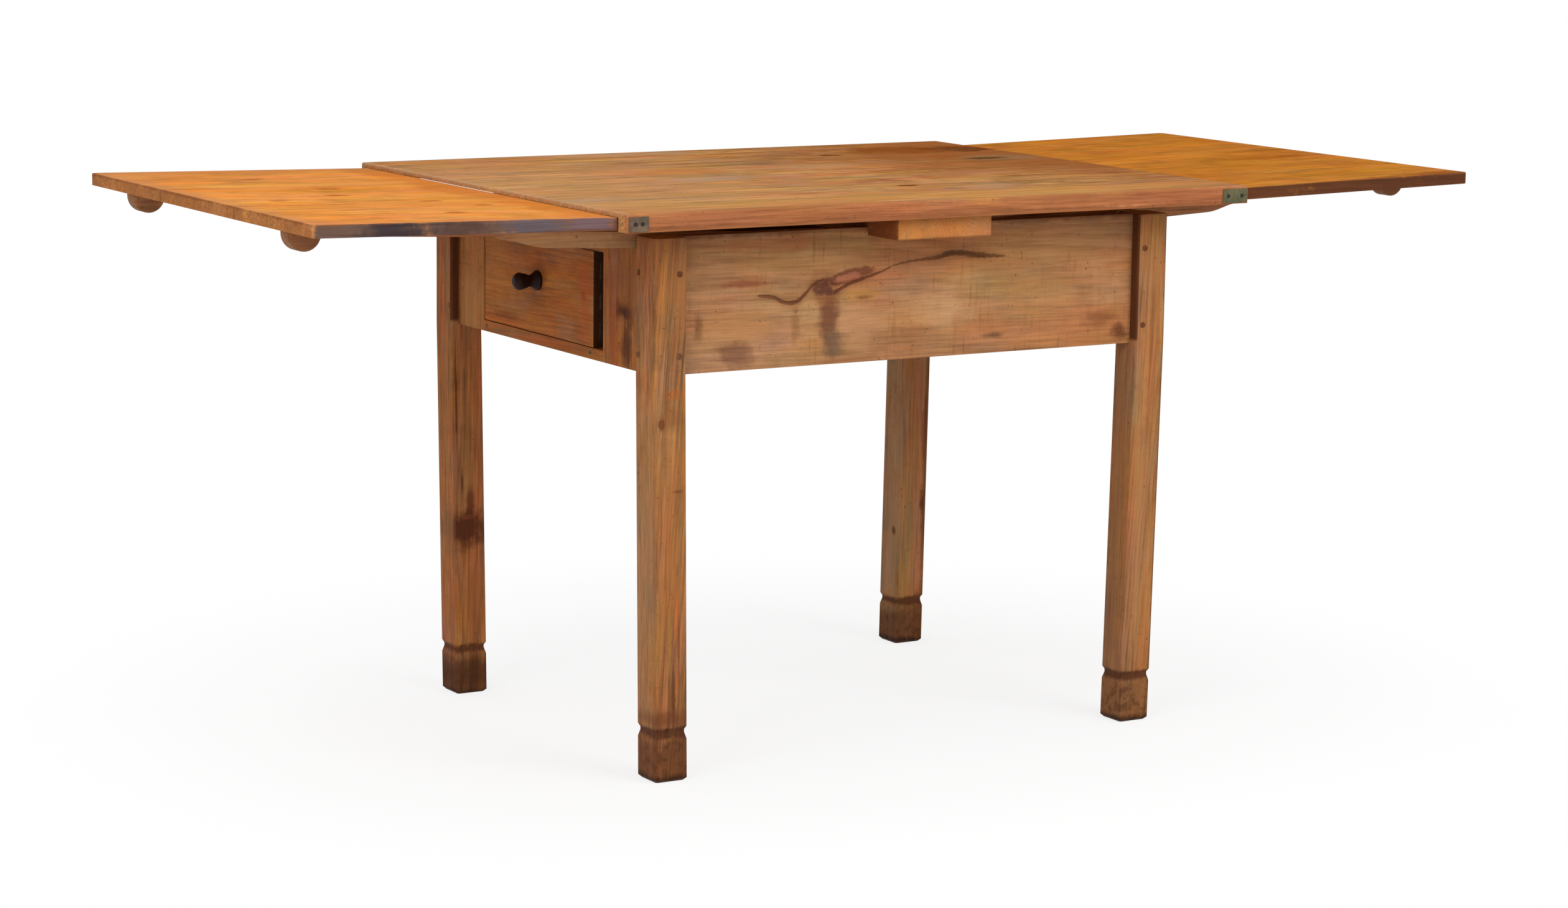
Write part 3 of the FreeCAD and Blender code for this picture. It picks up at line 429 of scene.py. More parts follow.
leaf = {
    "look": {
        "light": (0.75, 0.290, 0.062),
        "dark": (0.52, 0.168, 0.034),
        "warm": (0.74, 0.235, 0.045),
        "pale": (0.80, 0.370, 0.098),
        "grey": (0.65, 0.280, 0.090),
        "bands": 22,
        "patchLength": 6,
        "patchWidth": 16,
        "hue": (0.3, 0.52, 1.3),
        "streakShare": 0.3,
        "greyShare": 0.4,
        "ringShare": 0.25,
        "warmShare": 0.7,
        "speckShare": 0.15,
        "sawShare": 0,
        "hairShare": 0.1,
        "contrast": 1.05,
        # no gloss: the pale veil of the leaves' sheen is painted into their colours instead
        "gloss": 0,
        "edge": (0.24, 0.085, 0.030),
        "edgeShare": 0.7,
    },
    "rightLook": {
        "light": (0.525, 0.192, 0.028),
        "dark": (0.34, 0.102, 0.013),
        "warm": (0.50, 0.155, 0.018),
        "pale": (0.59, 0.250, 0.045),
        "grey": (0.47, 0.187, 0.046),
    },
    "seed": {"left": 11, "right": 17},
    "end": 0.905,           # metres from the middle of the table, drawn out
    "edge": 0.372,
    "nose": 0.87,
    "frontEdge": (0.130, 0.082, 0.064),
    "frontBlotchesAndShadow": (((-0.52, -0.372, 0.745), (0.055, 0.0045, 0), (0.180, 0.110, 0.125), 0.8),
                      ((-0.61, -0.372, 0.747), (0.050, 0.0045, 0), (0.125, 0.100, 0.115), 0.8),
                      # these two near-black blotches towards the outer end are painted shadow
                      ((-0.70, -0.372, 0.747), (0.050, 0.0045, 0), (0.090, 0.050, 0.040), 0.8),
                      ((-0.79, -0.372, 0.750), (0.060, 0.0045, 0), (0.050, 0.036, 0.042), 0.9),
                      ((-0.65, -0.372, 0.738), (0.300, 0.0045, 0.004), (0.050, 0.030, 0.028), 0.7)),
    "rightEdge": (0.105, 0.038, 0.020),
    "sideTone": (0.25, 0.086, 0.032),
    "pith": ((0, 0.04, -0.10), (0, -0.03, -0.10), (0, 0.05, -0.10)),
    "tilt": ((0.5, 0.9), (-0.5, -0.7), (0.8, 0.5)),
    "knotTone": (0.42, 0.130, 0.028),
    "knotSize": (0.020, 0.012, 0.02),
    "leftKnots": {
        "front": ((-0.581, -0.175, 0.755), (-0.66, -0.26, 0.756)),
        "middle": ((-0.816, -0.068, 0.759), (-0.706, -0.011, 0.757), (-0.686, 0.077, 0.757),
                   (-0.620, -0.110, 0.756)),
        "rear": ((-0.724, 0.234, 0.758),),
    },
    # first: the left leaf's darker reddish inner end, partly its own border tone, partly painted
    # shadow cast by the top's end
    "leftStains": (((-0.50, 0, 0.754), (0.05, 0, 0), (0.56, 0.165, 0.030), 0.65),
                   ((-0.905, 0, 0.760), (0.035, 0, 0), (0.57, 0.250, 0.100), 0.6),
                   ((0, 0.371, 0.757), (0, 0.06, 0), (0.52, 0.210, 0.080), 0.5),
                   ((0, -0.371, 0.757), (0, 0.035, 0), (0.54, 0.230, 0.100), 0.5)),
    "rightStains": (((0.78, -0.04, 0.758), (0.09, 0.03, 0), (0.32, 0.085, 0.010), 0.6),
                    ((0.845, 0.05, 0.759), (0.07, 0.03, 0), (0.32, 0.085, 0.010), 0.5),
                    ((0.87, -0.36, 0.760), (0.14, 0.03, 0), (0.20, 0.065, 0.022), 0.65)),
    "runnerLook": {
        "light": (0.42, 0.200, 0.085),
        "dark": (0.26, 0.105, 0.040),
        "warm": (0.42, 0.155, 0.055),
        "pale": (0.50, 0.280, 0.140),
        "edge": (0.20, 0.080, 0.032),
    },
    "runnerPith": (0, 0.06, 0.05),
    "noseTone": (0.20, 0.085, 0.040),
    "rubbedRunner": (((-0.51, -0.236, 0.712), (0.12, 0, 0.03), (0.50, 0.285, 0.130), 0.9),),
}

for side, out in (("left", -1), ("right", 1)):
    seed = leaf["seed"][side]
    look = {**leaf["look"], **(leaf["rightLook"] if side == "right" else {})}
    for number, name in enumerate(("front", "middle", "rear")):
        stains = leaf[side + "Stains"]
        if side == "left":
            stains += tuple((spot, leaf["knotSize"], leaf["knotTone"], 0.9)
                            for spot in leaf["leftKnots"][name])
        stains += (((out * leaf["end"], 0, 0.750), (0.0025, 0, 0), leaf["sideTone"], 0.6),)
        if name != "middle":
            tone = leaf["frontEdge"] if side == "left" else leaf["rightEdge"]
            way = -1 if name == "front" else 1
            stains += (((0, way * leaf["edge"], 0.745), (0, 0.0045, 0), tone, 0.95),)
        if (side, name) == ("left", "front"):
            stains += leaf["frontBlotchesAndShadow"]
        pineBoard("%s_leaf_board_%s" % (side, name), "x", leaf["pith"][number], seed + number,
                  tilt=leaf["tilt"][number], stains=stains, **look)
    for number, name in enumerate(("front", "rear")):
        nose = (((out * leaf["nose"], 0, 0.725), (0.03, 0, 0.03), leaf["noseTone"], 0.7),)
        rubbed = leaf["rubbedRunner"] if (side, name) == ("left", "front") else ()
        pineBoard("%s_runner_%s" % (side, name), "x", leaf["runnerPith"], seed + 5 + number,
                  stains=nose + rubbed, **leaf["runnerLook"])

print("leaves dressed")

# Legs

legs = {
    "seed": 23,
    "leanFrom": 0.538,            # height of the aprons' lower edge
    "lean": (0.0085, 0.0015),     # how far a foot stands in from there
    "pith": (0.03, 0.05),
    "groove": 0.0655,
    "look": {
        "ringGap": 0.0042,
        "ringShare": 0.45,
        "light": (0.40, 0.168, 0.058),
        "dark": (0.20, 0.068, 0.021),
        "warm": (0.40, 0.128, 0.034),
        "pale": (0.47, 0.225, 0.080),
        "edge": (0.15, 0.056, 0.022),
        "edgeWidth": 0.005,
        "contrast": 1.25,
        "bands": 70,
        "patchWidth": 40,
        "hue": (0.4, 0.6, 1.1),
        "hairShare": 0.3,
        "knot": (0.16, 0.055, 0.020),
        "grimeHeight": 0.075,
    },
    "ownLooks": {
        "front_left": {"light": (0.36, 0.152, 0.054), "warm": (0.37, 0.120, 0.032)},
        "front_right": {"hairShare": 0.1, "contrast": 1.0, "light": (0.40, 0.178, 0.066)},
        "rear_left": {
            "light": (0.37, 0.145, 0.048),
            "dark": (0.18, 0.056, 0.018),
            "warm": (0.37, 0.105, 0.026),
            "pale": (0.40, 0.180, 0.064),
        },
        "rear_right": {
            "light": (0.41, 0.180, 0.066),
            "dark": (0.22, 0.080, 0.028),
            "warm": (0.38, 0.130, 0.038),
            "pale": (0.42, 0.215, 0.095),
            "hairShare": 0.1,
            "contrast": 1.0,
        },
    },
    "footTones": {
        "front_left": (0.150, 0.052, 0.019),
        "front_right": (0.24, 0.100, 0.036),
        "rear_left": (0.060, 0.020, 0.009),
        "rear_right": (0.12, 0.042, 0.015),
    },
    # painted shade in the groove round each foot
    "grooveShade": (0.075, 0.022, 0.009),
    "soleTone": (0.022, 0.009, 0.005),
    "tilt": {
        "front_left": (4, 3),
        "front_right": (1.5, 1),
        "rear_left": (2, -2),
        "rear_right": (-1, 1.5),
    },
    "recessShades": {      # painted shade on each leg's strip beside a set-back apron, where the apron meets the leg
        "front_right": ((0.3565, 0, 0), (0.004, 0, 0)),
        "rear_left": ((0, 0.270, 0), (0, 0.004, 0)),
        "rear_right": ((0.3565, 0, 0), (0.004, 0, 0)),
    },
    "knots": {
        "front_left": (((-0.395, -0.32, 0.475), 0.004),),
    },
    "stains": {
        "front_left": (
            ((-0.379, -0.32, 0.105), (0.0030, 0.003, 0.055), (0.10, 0.030, 0.012), 0.8),
            ((-0.371, -0.32, 0.17), (0.0025, 0.003, 0.07), (0.15, 0.045, 0.016), 0.6),
            ((-0.396, -0.32, 0.34), (0.0022, 0.003, 0.07), (0.16, 0.055, 0.018), 0.6),
            ((-0.390, -0.32, 0.27), (0.0022, 0.003, 0.06), (0.16, 0.055, 0.018), 0.6),
            ((-0.403, -0.32, 0.30), (0.0020, 0.003, 0.05), (0.18, 0.060, 0.020), 0.6),
            ((-0.385, -0.32, 0.48), (0.018, 0.003, 0.018), (0.24, 0.085, 0.028), 0.6),
            ((-0.376, -0.32, 0.515), (0.014, 0.003, 0.006), (0.40, 0.110, 0.026), 0.55),
            ((-0.372, -0.32, 0.387), (0.010, 0.003, 0.003), (0.15, 0.050, 0.018), 0.7),
            # painted light: the front left leg's left face paler below the aprons
            ((-0.408, -0.295, 0.29), (0.005, 0.06, 0.26), (0.43, 0.235, 0.105), 0.55),
            ((-0.374, -0.32, 0.225), (0.003, 0.003, 0.045), (0.50, 0.120, 0.035), 0.7),
            ((-0.392, -0.32, 0.245), (0.003, 0.003, 0.025), (0.48, 0.130, 0.035), 0.6),
            ((-0.384, -0.32, 0.19), (0.003, 0.003, 0.06), (0.40, 0.210, 0.040), 0.6),
            ((-0.385, -0.32, 0.085), (0.03, 0, 0.012), (0.16, 0.050, 0.020), 0.7),
            ((-0.407, 0, 0.63), (0.003, 0.06, 0.10), (0.27, 0.100, 0.032), 0.6),
            ((-0.39, -0.32, 0.30), (0.02, 0.003, 0.18), (0.44, 0.165, 0.045), 0.4),
            ((-0.40, -0.28, 0.095), (0.003, 0.03, 0.03), (0.17, 0.065, 0.025), 0.6)),
        "front_right": (
            ((0.405, -0.32, 0.3), (0.0025, 0, 0.5), (0.14, 0.050, 0.020), 0.6),
            # painted shade: the front right leg's left face darker, and its inner rear corner
            # darker still
            ((0.357, -0.29, 0.3), (0.004, 0.03, 0.5), (0.25, 0.110, 0.046), 0.6),
            ((0.352, -0.271, 0.3), (0.008, 0.008, 0.5), (0.11, 0.050, 0.024), 0.6),
            ((0.378, -0.32, 0.3), (0.012, 0.002, 0.25), (0.50, 0.240, 0.085), 0.45)),
        "rear_left": (
            ((-0.386, 0.271, 0.242), (0.042, 0.005, 0.030), (0.075, 0.018, 0.008), 0.92),
            ((-0.386, 0.271, 0.258), (0.010, 0.005, 0.004), (0.20, 0.055, 0.020), 0.7),
            ((-0.380, 0.271, 0.285), (0.010, 0.004, 0.020), (0.15, 0.038, 0.015), 0.75),
            ((-0.393, 0.271, 0.31), (0.002, 0.003, 0.03), (0.08, 0.020, 0.010), 0.8),
            ((-0.380, 0.271, 0.14), (0.02, 0.004, 0.07), (0.34, 0.110, 0.028), 0.6),
            ((-0.401, 0.271, 0.45), (0.0022, 0.004, 0.10), (0.08, 0.024, 0.010), 0.8),
            ((-0.407, 0.29, 0.245), (0.003, 0.04, 0.03), (0.14, 0.070, 0.034), 0.5)),
        "rear_right": (
            # painted light: the rear right leg's left face paler
            ((0.356, 0.295, 0.3), (0.005, 0.05, 0.6), (0.40, 0.250, 0.135), 0.55),
            ((0.355, 0.285, 0.175), (0.006, 0.006, 0.007), (0.09, 0.026, 0.010), 0.85),
            ((0.400, 0.271, 0.22), (0.006, 0.004, 0.025), (0.10, 0.030, 0.012), 0.8),
            ((0.403, 0.271, 0.25), (0.006, 0.004, 0.30), (0.12, 0.036, 0.014), 0.7),
            ((0.350, 0.310, 0.3), (0.01, 0.012, 0.5), (0.13, 0.075, 0.040), 0.5)),
    },
}

for number, name in enumerate(("front_left", "front_right", "rear_left", "rear_right")):
    sideX = -1 if "left" in name else 1
    sideY = -1 if "front" in name else 1
    look = {**legs["look"], **legs["ownLooks"].get(name, {})}
    # dark feet, painted shade in the groove, and a dark sole
    stains = legs["stains"][name] + (
        ((0, 0, 0.025), (0, 0, 0.040), legs["footTones"][name], 0.85),
        ((0, 0, legs["groove"]), (0, 0, 0.0075), legs["grooveShade"], 0.85),
        ((0, 0, 0.0), (0, 0, 0.010), legs["soleTone"], 0.9))
    pith = (sideX * legs["pith"][0], sideY * legs["pith"][1], 0)
    lean = (-sideX * legs["lean"][0], -sideY * legs["lean"][1], 0)
    pineBoard("leg_" + name, "z", pith, legs["seed"] + number, tilt=legs["tilt"][name],
              knots=legs["knots"].get(name, ()), stains=stains, lean=lean,
              recessShade=legs["recessShades"].get(name), **look)

print("legs dressed")

# Aprons

apron = {
    "look": {
        "light": (0.43, 0.200, 0.084),
        "dark": (0.24, 0.094, 0.035),
        "warm": (0.43, 0.160, 0.056),
        "pale": (0.51, 0.290, 0.135),
        "ringGap": 0.0075,
        "ringShare": 0.6,
        "streakLift": 0.35,
        "patchLength": 6,
        "patchWidth": 13,
        "sway": 0.03,
        "edgeShare": 0.2,
        "sawShare": 0.3,
        "fineShare": 0.35,
        "streakShare": 0.15,
        "hairShare": 0.06,
        "bands": 20,
    },
    "frontGrain": {"pith": (0, 0.05, 0.03), "seed": 31, "tilt": (1.0, 1.8)},
    "rearGrain": {"pith": (0, -0.05, 0.02), "seed": 32, "tilt": (-0.8, 1.4)},
    "endGrain": {"pith": (0.05, 0, 0.02), "seed": 33, "tilt": (1.0, 1.4)},
    "leftCrack": {
        "from": (-0.245, 0.620), "to": (-0.140, 0.655),
        "line": ((0, 0.42), (0.24, 0.33), (0.40, 0.12), (0.53, 0.08), (0.70, 0.37), (0.84, 0.74),
                 (1, 0.92)),
        "wide": ((0, 0.25), (0.2, 0.7), (0.45, 0.8), (0.6, 0.9), (0.8, 0.6), (1, 0.4)),
        "width": 0.0032, "tone": (0.140, 0.046, 0.019), "shade": (0.26, 0.090, 0.036),
    },
    "lowerCrack": {
        "from": (-0.128, 0.630), "to": (-0.035, 0.665),
        "line": ((0, 0.06), (0.27, 0.38), (0.55, 0.60), (0.78, 0.76), (1, 0.97)),
        "wide": ((0, 0.9), (0.3, 0.8), (0.6, 0.7), (0.78, 0.45), (1, 0.1)),
        "width": 0.0026, "tone": (0.13, 0.036, 0.016), "shade": (0.27, 0.080, 0.036),
    },
    "rightCrack": {
        "from": (-0.045, 0.655), "to": (0.150, 0.685),
        "line": ((0, 0.24), (0.15, 0.44), (0.26, 0.52), (0.42, 0.60), (0.51, 0.74), (0.60, 0.745),
                 (0.71, 0.63), (0.82, 0.55), (1, 0.48)),
        "wide": ((0, 0.1), (0.2, 0.28), (0.35, 0.45), (0.44, 0.7), (0.55, 0.9), (0.66, 0.85),
                 (0.76, 0.8), (0.86, 0.55), (1, 0.1)),
        "width": 0.0047, "tone": (0.076, 0.028, 0.011), "shade": (0.22, 0.085, 0.034),
    },
    "eye": {
        "spot": (-0.103, -0.3125, 0.6535), "size": (0.030, 0.03, 0.0080), "slant": -12,
        "tone": (0.37, 0.125, 0.070), "rim": (0.13, 0.034, 0.020), "rimShare": 0.7,
    },
    "knots": (((-0.141, -0.3125, 0.640), 0.0140),),
    "rearKnots": (((0.16, 0.305, 0.60), 0.012), ((-0.22, 0.305, 0.66), 0.008)),
    "endKnots": (((0.395, 0.12, 0.62), 0.011),),
    "knotTone": (0.110, 0.036, 0.026),
    "stains": (
        ((0.055, -0.305, 0.600), (0.060, 0, 0.032), (0.53, 0.290, 0.145), 0.7),
        ((-0.090, -0.305, 0.590), (0.035, 0, 0.035), (0.51, 0.255, 0.120), 0.6),
        ((-0.18, -0.305, 0.672), (0.10, 0, 0.014), (0.46, 0.230, 0.080), 0.5),
        ((0.20, -0.305, 0.680), (0.15, 0, 0.030), (0.54, 0.260, 0.090), 0.4),
        ((-0.28, -0.305, 0.595), (0.07, 0, 0.030), (0.52, 0.245, 0.085), 0.5),
        ((-0.22, -0.305, 0.703), (0.10, 0, 0.013), (0.42, 0.140, 0.050), 0.6),
        ((-0.005, -0.305, 0.572), (0.060, 0, 0.016), (0.28, 0.125, 0.055), 0.6),
        ((-0.333, -0.305, 0.600), (0.008, 0, 0.020), (0.20, 0.085, 0.030), 0.75),
        ((-0.185, -0.305, 0.592), (0.008, 0, 0.030), (0.24, 0.100, 0.036), 0.5),
        ((-0.135, -0.305, 0.600), (0.016, 0, 0.045), (0.17, 0.060, 0.030), 0.9),
        ((-0.128, -0.305, 0.565), (0.020, 0, 0.024), (0.17, 0.095, 0.055), 0.85),
        ((-0.141, -0.305, 0.638), (0.022, 0, 0.022), (0.24, 0.075, 0.032), 0.7),
        ((-0.265, -0.305, 0.651), (0.045, 0, 0.006), (0.27, 0.080, 0.036), 0.75),
        ((-0.275, -0.305, 0.560), (0.028, 0, 0.016), (0.20, 0.085, 0.045), 0.75),
        ((-0.080, -0.305, 0.628), (0.030, 0, 0.010), (0.54, 0.250, 0.060), 0.6),
        ((-0.078, -0.305, 0.624), (0.014, 0, 0.004), (0.14, 0.050, 0.020), 0.6),
        ((0.125, -0.305, 0.562), (0.022, 0, 0.007), (0.13, 0.060, 0.030), 0.8),
        ((0.310, -0.305, 0.575), (0.035, 0, 0.018), (0.25, 0.085, 0.035), 0.7),
        ((0.340, -0.305, 0.557), (0.018, 0, 0.018), (0.13, 0.036, 0.015), 0.85),
        # painted shade along the apron's upper edge, under the top's overhang
        ((0, -0.305, 0.720), (0, 0, 0.007), (0.14, 0.050, 0.020), 0.7),
    ),
}

pineBoard("front_apron", "x", **apron["frontGrain"], knots=apron["knots"], stains=apron["stains"],
          cracks=(apron["leftCrack"], apron["lowerCrack"], apron["rightCrack"]),
          eyes=(apron["eye"],), knot=apron["knotTone"], **apron["look"])
pineBoard("rear_apron", "x", **apron["rearGrain"], knots=apron["rearKnots"], **apron["look"])
pineBoard("right_end_board", "y", **apron["endGrain"], knots=apron["endKnots"], **apron["look"])

# Crossboard

crossboard = {
    "look": {
        "light": (0.56, 0.215, 0.062),
        "warm": (0.58, 0.200, 0.048),
        "dark": (0.36, 0.120, 0.034),
        "pale": (0.60, 0.270, 0.090),
        "ringShare": 0.15,
        "streakShare": 0.15,
        "hairShare": 0,
        "fineShare": 0.2,
        "contrast": 0.4,
    },
    "grain": {"pith": (0.05, 0, 0.02), "seed": 36, "tilt": (0.6, 0.8)},
    # painted shade on the crossboard's left face, under the top
    "side": (((-0.075, 0, 0.71), (0.003, 0, 0), (0.16, 0.042, 0.014), 0.85),),
}

pineBoard("crossboard", "y", **crossboard["grain"], stains=crossboard["side"], **crossboard["look"])

print("aprons and crossboard dressed")

# Drawer end

drawerEnd = {
    "look": {
        "light": (0.375, 0.141, 0.035),
        "dark": (0.20, 0.062, 0.014),
        "warm": (0.375, 0.112, 0.022),
        "pale": (0.43, 0.193, 0.054),
        "ringShare": 0.45,
        "edgeShare": 0.05,
        "bands": 36,
        "streakShare": 0.25,
        "fineShare": 0.4,
        "contrast": 1.2,
    },
    "frontTone": {
        "light": (0.42, 0.142, 0.031),
        "dark": (0.24, 0.070, 0.014),
        "warm": (0.43, 0.112, 0.021),
    },
    "standing": {"axis": "z", "pith": (0.05, 0.02, 0), "tilt": (1.5, 0.8)},
    "lying": {"axis": "y", "pith": (0.05, 0, 0.02), "tilt": (1.0, 1.4)},
    "stileFrontStains": (
        ((-0.395, -0.218, 0.613), (0, 0.036, 0.020), (0.060, 0.016, 0.008), 0.95),
        ((-0.395, -0.212, 0.622), (0, 0.014, 0.003), (0.26, 0.080, 0.030), 0.6),
        ((-0.395, -0.225, 0.568), (0, 0.018, 0.040), (0.095, 0.028, 0.012), 0.9),
        ((-0.395, -0.185, 0.60), (0, 0.02, 0.08), (0.28, 0.070, 0.020), 0.6),
        ((-0.395, -0.24, 0.65), (0, 0.04, 0.05), (0.26, 0.090, 0.030), 0.6),
        ((-0.395, -0.272, 0.60), (0, 0.003, 0), (0.10, 0.036, 0.014), 0.6),
    ),
    "stileRearStains": (
        # painted shade in the corner where the stile meets the rear left leg
        ((-0.395, 0.268, 0.60), (0, 0.004, 0), (0.055, 0.018, 0.007), 0.9),
        ((-0.395, 0.250, 0.626), (0, 0.030, 0.0025), (0.09, 0.028, 0.010), 0.85),
        ((-0.395, 0.235, 0.60), (0, 0.06, 0.09), (0.48, 0.225, 0.080), 0.65),
    ),
    "frontStains": (
        ((-0.395, 0.15, 0.62), (0, 0.05, 0.06), (0.50, 0.195, 0.050), 0.55),
        ((-0.395, -0.104, 0.619), (0, 0.006, 0.005), (0.12, 0.026, 0.010), 0.85),
        ((-0.395, -0.11, 0.62), (0, 0.02, 0.06), (0.42, 0.095, 0.020), 0.6),
        ((-0.395, 0.03, 0.630), (0, 0.03, 0.025), (0.24, 0.070, 0.022), 0.6),
        ((-0.395, 0.12, 0.568), (0, 0.05, 0.008), (0.24, 0.060, 0.018), 0.6),
        ((-0.395, 0.0, 0.69), (0, 0, 0.008), (0.20, 0.060, 0.020), 0.5),
    ),
    "railStains": (((-0.395, 0.0, 0.545), (0, 0.10, 0.006), (0.42, 0.105, 0.030), 0.6),),
    # painted shade: the deep shade inside the slot, painted near black on the guide and bearer
    "inside": (((-0.38, 0, 0.63), (0.5, 0, 0), (0.020, 0.009, 0.005), 0.98),),
    "frontRecessShade": ((0, -0.1335, 0), (0, 0.0020, 0)),      # painted shade on the walls of the slot beside the drawer
    "sideRecessShade": ((-0.386, -0.1335, 0), (0.014, 0.0020, 0)),
    "recessShadeLook": {"recessShadeFrom": 0.5, "recessShadeTone": (0.020, 0.009, 0.005)},
    "darkPieces": ("drawer_guide_front", "drawer_bearer_front"),
    "insidePith": (0, 0.05, 0.03),
    "insideSeed": 53,
    "insideLook": {
        "light": (0.34, 0.175, 0.085),
        "dark": (0.20, 0.090, 0.040),
        "warm": (0.32, 0.140, 0.060),
    },
    "insidePieces": (
        "drawer_back", "drawer_bottom", "drawer_side_front", "drawer_side_rear",
        "drawer_bearer_front", "drawer_bearer_rear", "drawer_guide_front", "drawer_guide_rear",
    ),
}

pineBoard("drawer_end_stile_front", **drawerEnd["standing"], seed=47,
          stains=drawerEnd["stileFrontStains"], **drawerEnd["look"])
pineBoard("drawer_end_stile_rear", **drawerEnd["standing"], seed=48,
          stains=drawerEnd["stileRearStains"], **drawerEnd["look"])
pineBoard("drawer_end_bottom_rail", **drawerEnd["lying"], seed=38,
          stains=drawerEnd["railStains"], **drawerEnd["look"])
pineBoard("drawer_end_top_rail", **drawerEnd["lying"], seed=39, **drawerEnd["look"])
# the drawer front's end gets painted shade where it walls the slot
pineBoard("drawer_front", **drawerEnd["lying"], seed=41,
          stains=drawerEnd["frontStains"], recessShade=drawerEnd["frontRecessShade"],
          **{**drawerEnd["look"], **drawerEnd["frontTone"], **drawerEnd["recessShadeLook"]})
# painted shade of the slot on the guide and bearer, and on the front side's wall of the slot
for number, name in enumerate(drawerEnd["insidePieces"]):
    pineBoard(name, "y" if name == "drawer_back" else "x", drawerEnd["insidePith"],
              drawerEnd["insideSeed"] + number,
              stains=drawerEnd["inside"] if name in drawerEnd["darkPieces"] else (),
              recessShade=drawerEnd["sideRecessShade"] if name == "drawer_side_front" else None,
              **drawerEnd["insideLook"], **drawerEnd["recessShadeLook"])

print("drawer end dressed")

# Pegs

pegs = {
    "darkLook": {
        "light": (0.14, 0.050, 0.018),
        "dark": (0.07, 0.024, 0.009),
        "warm": (0.14, 0.044, 0.015),
        "pale": (0.18, 0.075, 0.030),
    },
    "plainLook": {
        "light": (0.27, 0.110, 0.040),
        "dark": (0.17, 0.060, 0.022),
        "warm": (0.26, 0.085, 0.028),
        "pale": (0.30, 0.140, 0.055),
    },
    "darkPieces": ("leg_pegs_front_left", "leg_pegs_front_right"),
    "plainPieces": (
        "leg_pegs_rear_left", "leg_pegs_rear_right", "crossboard_pegs", "top_locating_pegs",
        "left_leaf_pegs", "right_leaf_pegs",
    ),
    "pith": (0.05, 0.02, 0),
    "seed": 61,
}

for number, name in enumerate(pegs["darkPieces"] + pegs["plainPieces"]):
    look = pegs["darkLook" if name in pegs["darkPieces"] else "plainLook"]
    pineBoard(name, "z", pegs["pith"], pegs["seed"] + number, **look)

# Knob and iron

knob = {
    "tone": (0.018, 0.006, 0.005),
    "rubbed": (0.065, 0.018, 0.012),
    "rubShare": 0.6,
    "rubs": 180,      # to the metre
    "rough": 0.4,
    "gloss": 0.12,
    "bump": 0.0003,
}


def darkKnob():
    material, start = newMaterial("darkKnob")
    place = start.node("ShaderNodeTexCoord", out=3)
    rub = noise(place, knob["rubs"], 3, 0.6)
    colour = blend(smooth(rub, 0.5, 0.75) * knob["rubShare"], knob["tone"], knob["rubbed"])
    finishMaterial(start, {"Base Color": colour, "Roughness": rub * 0.3 + knob["rough"],
                           "Specular IOR Level": knob["gloss"]}, rub, knob["bump"])
    dress("drawer_knob", material)


iron = {
    "leftPlates": ((0.125, 0.090, 0.060), (0.20, 0.110, 0.055)),      # bare iron and rust
    "rightPlates": ((0.105, 0.115, 0.055), (0.13, 0.075, 0.035)),
    "nails": ((0.016, 0.014, 0.012), (0.045, 0.022, 0.013)),
    "rusts": 220,      # to the metre
    "rubs": 60,
    "rough": 0.5,
    "metal": 0.2,
    "gloss": 0.3,
    "bump": 0.0006,
}


def oldIron(name, tones, nodes):
    material, start = newMaterial(name)
    place = start.node("ShaderNodeTexCoord", out=3)
    rust = noise(place, iron["rusts"], 4, 0.65)
    rubbed = noise(shifted(place, (2, 1, 3)), iron["rubs"], 3, 0.6)
    colour = blend(smooth(rust, 0.42, 0.66), *tones)
    colour = scaled(colour, swing(rubbed, 1.6) + 1)
    finishMaterial(start, {"Base Color": colour, "Roughness": rust * 0.3 + iron["rough"],
                           "Metallic": iron["metal"], "Specular IOR Level": iron["gloss"]},
                   rust, iron["bump"])
    for node in nodes:
        dress(node, material)


darkKnob()
oldIron("leftPlate", iron["leftPlates"], ["corner_plate_front_left", "corner_plate_rear_left"])
oldIron("rightPlate", iron["rightPlates"], ["corner_plate_front_right", "corner_plate_rear_right"])
oldIron("ironNail", iron["nails"], ["corner_plate_nails", "bearer_nails", "drawer_nails"])
print("pegs, knob and iron dressed")

# Floor, light and camera

studio = {
    "floorSize": 60,
    "floorDrop": 0.0005,             # the feet stand this much above the floor
    "floorTone": 0.7,
    "shadowShare": 0.2,
    "shadowReach": (0.5, 1.25),      # metres from the middle, where the shadow fades out
    "skyStrength": 0.5,
    "lamps": {      # place, target, size and power
        "keyLamp": ((1.4, -3.8, 3.2), (0, 0, 0.5), 2.4, 93),
        "fillLamp": ((-3.8, -2.2, 2.2), (-0.4, 0, 0.5), 2.4, 68),
        "overheadLamp": ((-0.4, 0.3, 3.6), (0, 0, 0.7), 3.0, 32),
    },
}


def seenPlainly(start):      # 1 where a surface is seen, also in a reflection or through glass
    straight, glossy, through = [start.node("ShaderNodeLightPath", out=i) for i in (0, 3, 6)]
    return start.maths("MAXIMUM", straight, start.maths("MAXIMUM", glossy, through))


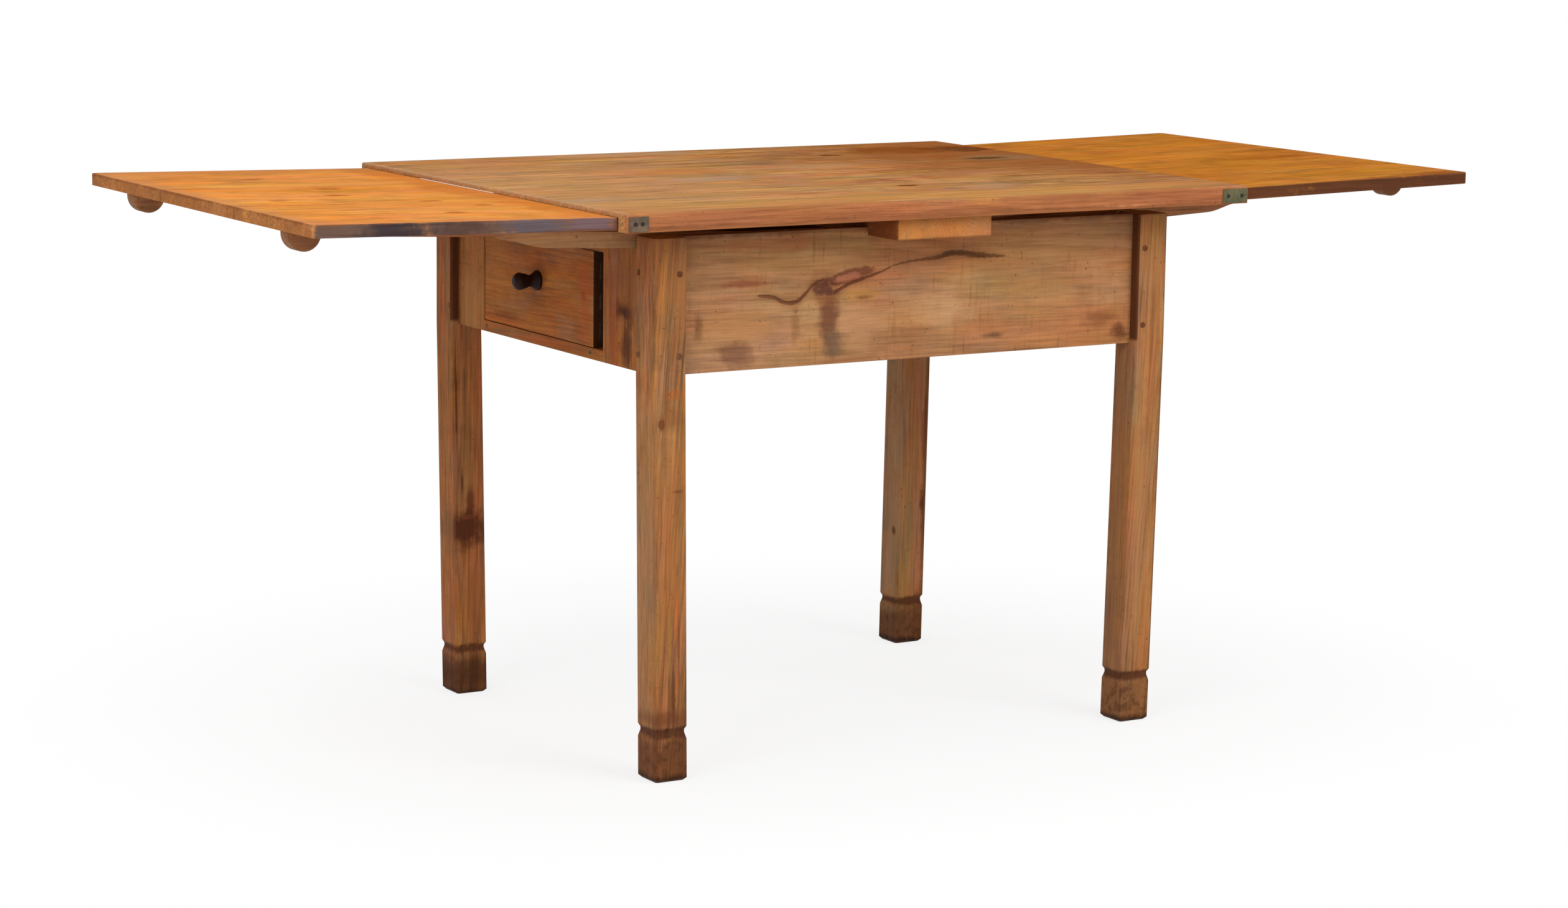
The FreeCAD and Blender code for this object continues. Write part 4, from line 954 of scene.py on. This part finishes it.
def makeFloor():
    bpy.ops.mesh.primitive_plane_add(size=studio["floorSize"],
                                     location=(0, 0, -studio["floorDrop"]))
    floor = bpy.context.object
    floor.name = "studioFloor"
    material, start = newMaterial("paleFloor")
    tone = studio["floorTone"]
    place = start.node("ShaderNodeTexCoord", out=3)
    near = smooth(distance(place, (0, 0, 0), (1, 1, 1)), *reversed(studio["shadowReach"]))
    plain = start.node("ShaderNodeBsdfDiffuse", {}, {"Color": (tone, tone, tone, 1)})
    shaded = start.node("ShaderNodeBsdfDiffuse", {}, {"Color": (1, 1, 1, 1)})
    white = start.node("ShaderNodeEmission", {}, {"Color": (1, 1, 1, 1), "Strength": 1})
    seen = seenPlainly(start)
    near = near * studio["shadowShare"]
    faint = start.node("ShaderNodeMixShader", {}, {0: near, 1: white, 2: shaded})
    shader = start.node("ShaderNodeMixShader", {}, {0: seen, 1: plain, 2: faint})
    start.node("ShaderNodeOutputMaterial", {}, {"Surface": shader})
    floor.data.materials.append(material)


def makeSky():
    world = bpy.data.worlds.new("studio")
    bpy.context.scene.world = world
    world.use_nodes = True
    world.node_tree.nodes.clear()
    start = Wire(world.node_tree)
    seen = seenPlainly(start)
    strength = seen * (1 - studio["skyStrength"]) + studio["skyStrength"]
    sky = start.node("ShaderNodeBackground", {}, {"Color": (1, 1, 1, 1), "Strength": strength})
    start.node("ShaderNodeOutputWorld", {}, {"Surface": sky})


def makeLamp(name, place, target, size, power):
    bpy.ops.object.light_add(type="AREA", location=place)
    lamp = bpy.context.object
    lamp.name = name
    lamp.data.size = size
    lamp.data.energy = power
    lamp.rotation_euler = (Vector(target) - Vector(place)).to_track_quat("-Z", "Y").to_euler()


camera = {
    "place": (-2.79510, -4.61774, 1.25520),
    "yaw": 0.54167,      # radians, from +Y towards +X
    "pitch": -0.16403,
    "roll": 0.01358,
    "lens": 88.578,      # millimetres, as is the sensor
    "sensor": 36,
    "farthest": 100,
}


def makeCamera():
    yaw, pitch, roll = camera["yaw"], camera["pitch"], camera["roll"]
    ahead = Vector((math.sin(yaw) * math.cos(pitch), math.cos(yaw) * math.cos(pitch),
                    math.sin(pitch)))
    level = Vector((math.cos(yaw), -math.sin(yaw), 0))
    rise = level.cross(ahead)
    across = level * math.cos(roll) + rise * math.sin(roll)
    upward = rise * math.cos(roll) - level * math.sin(roll)
    bpy.ops.object.camera_add()
    eye = bpy.context.object
    turn = Matrix((across, upward, -ahead)).transposed().to_4x4()
    eye.matrix_world = Matrix.Translation(camera["place"]) @ turn
    eye.data.lens = camera["lens"]
    eye.data.sensor_width = camera["sensor"]
    eye.data.clip_end = camera["farthest"]
    bpy.context.scene.camera = eye


makeFloor()
makeSky()
for name, lamp in studio["lamps"].items():
    makeLamp(name, *lamp)
makeCamera()
bpy.context.scene.view_settings.view_transform = "Standard"
print("studio made")
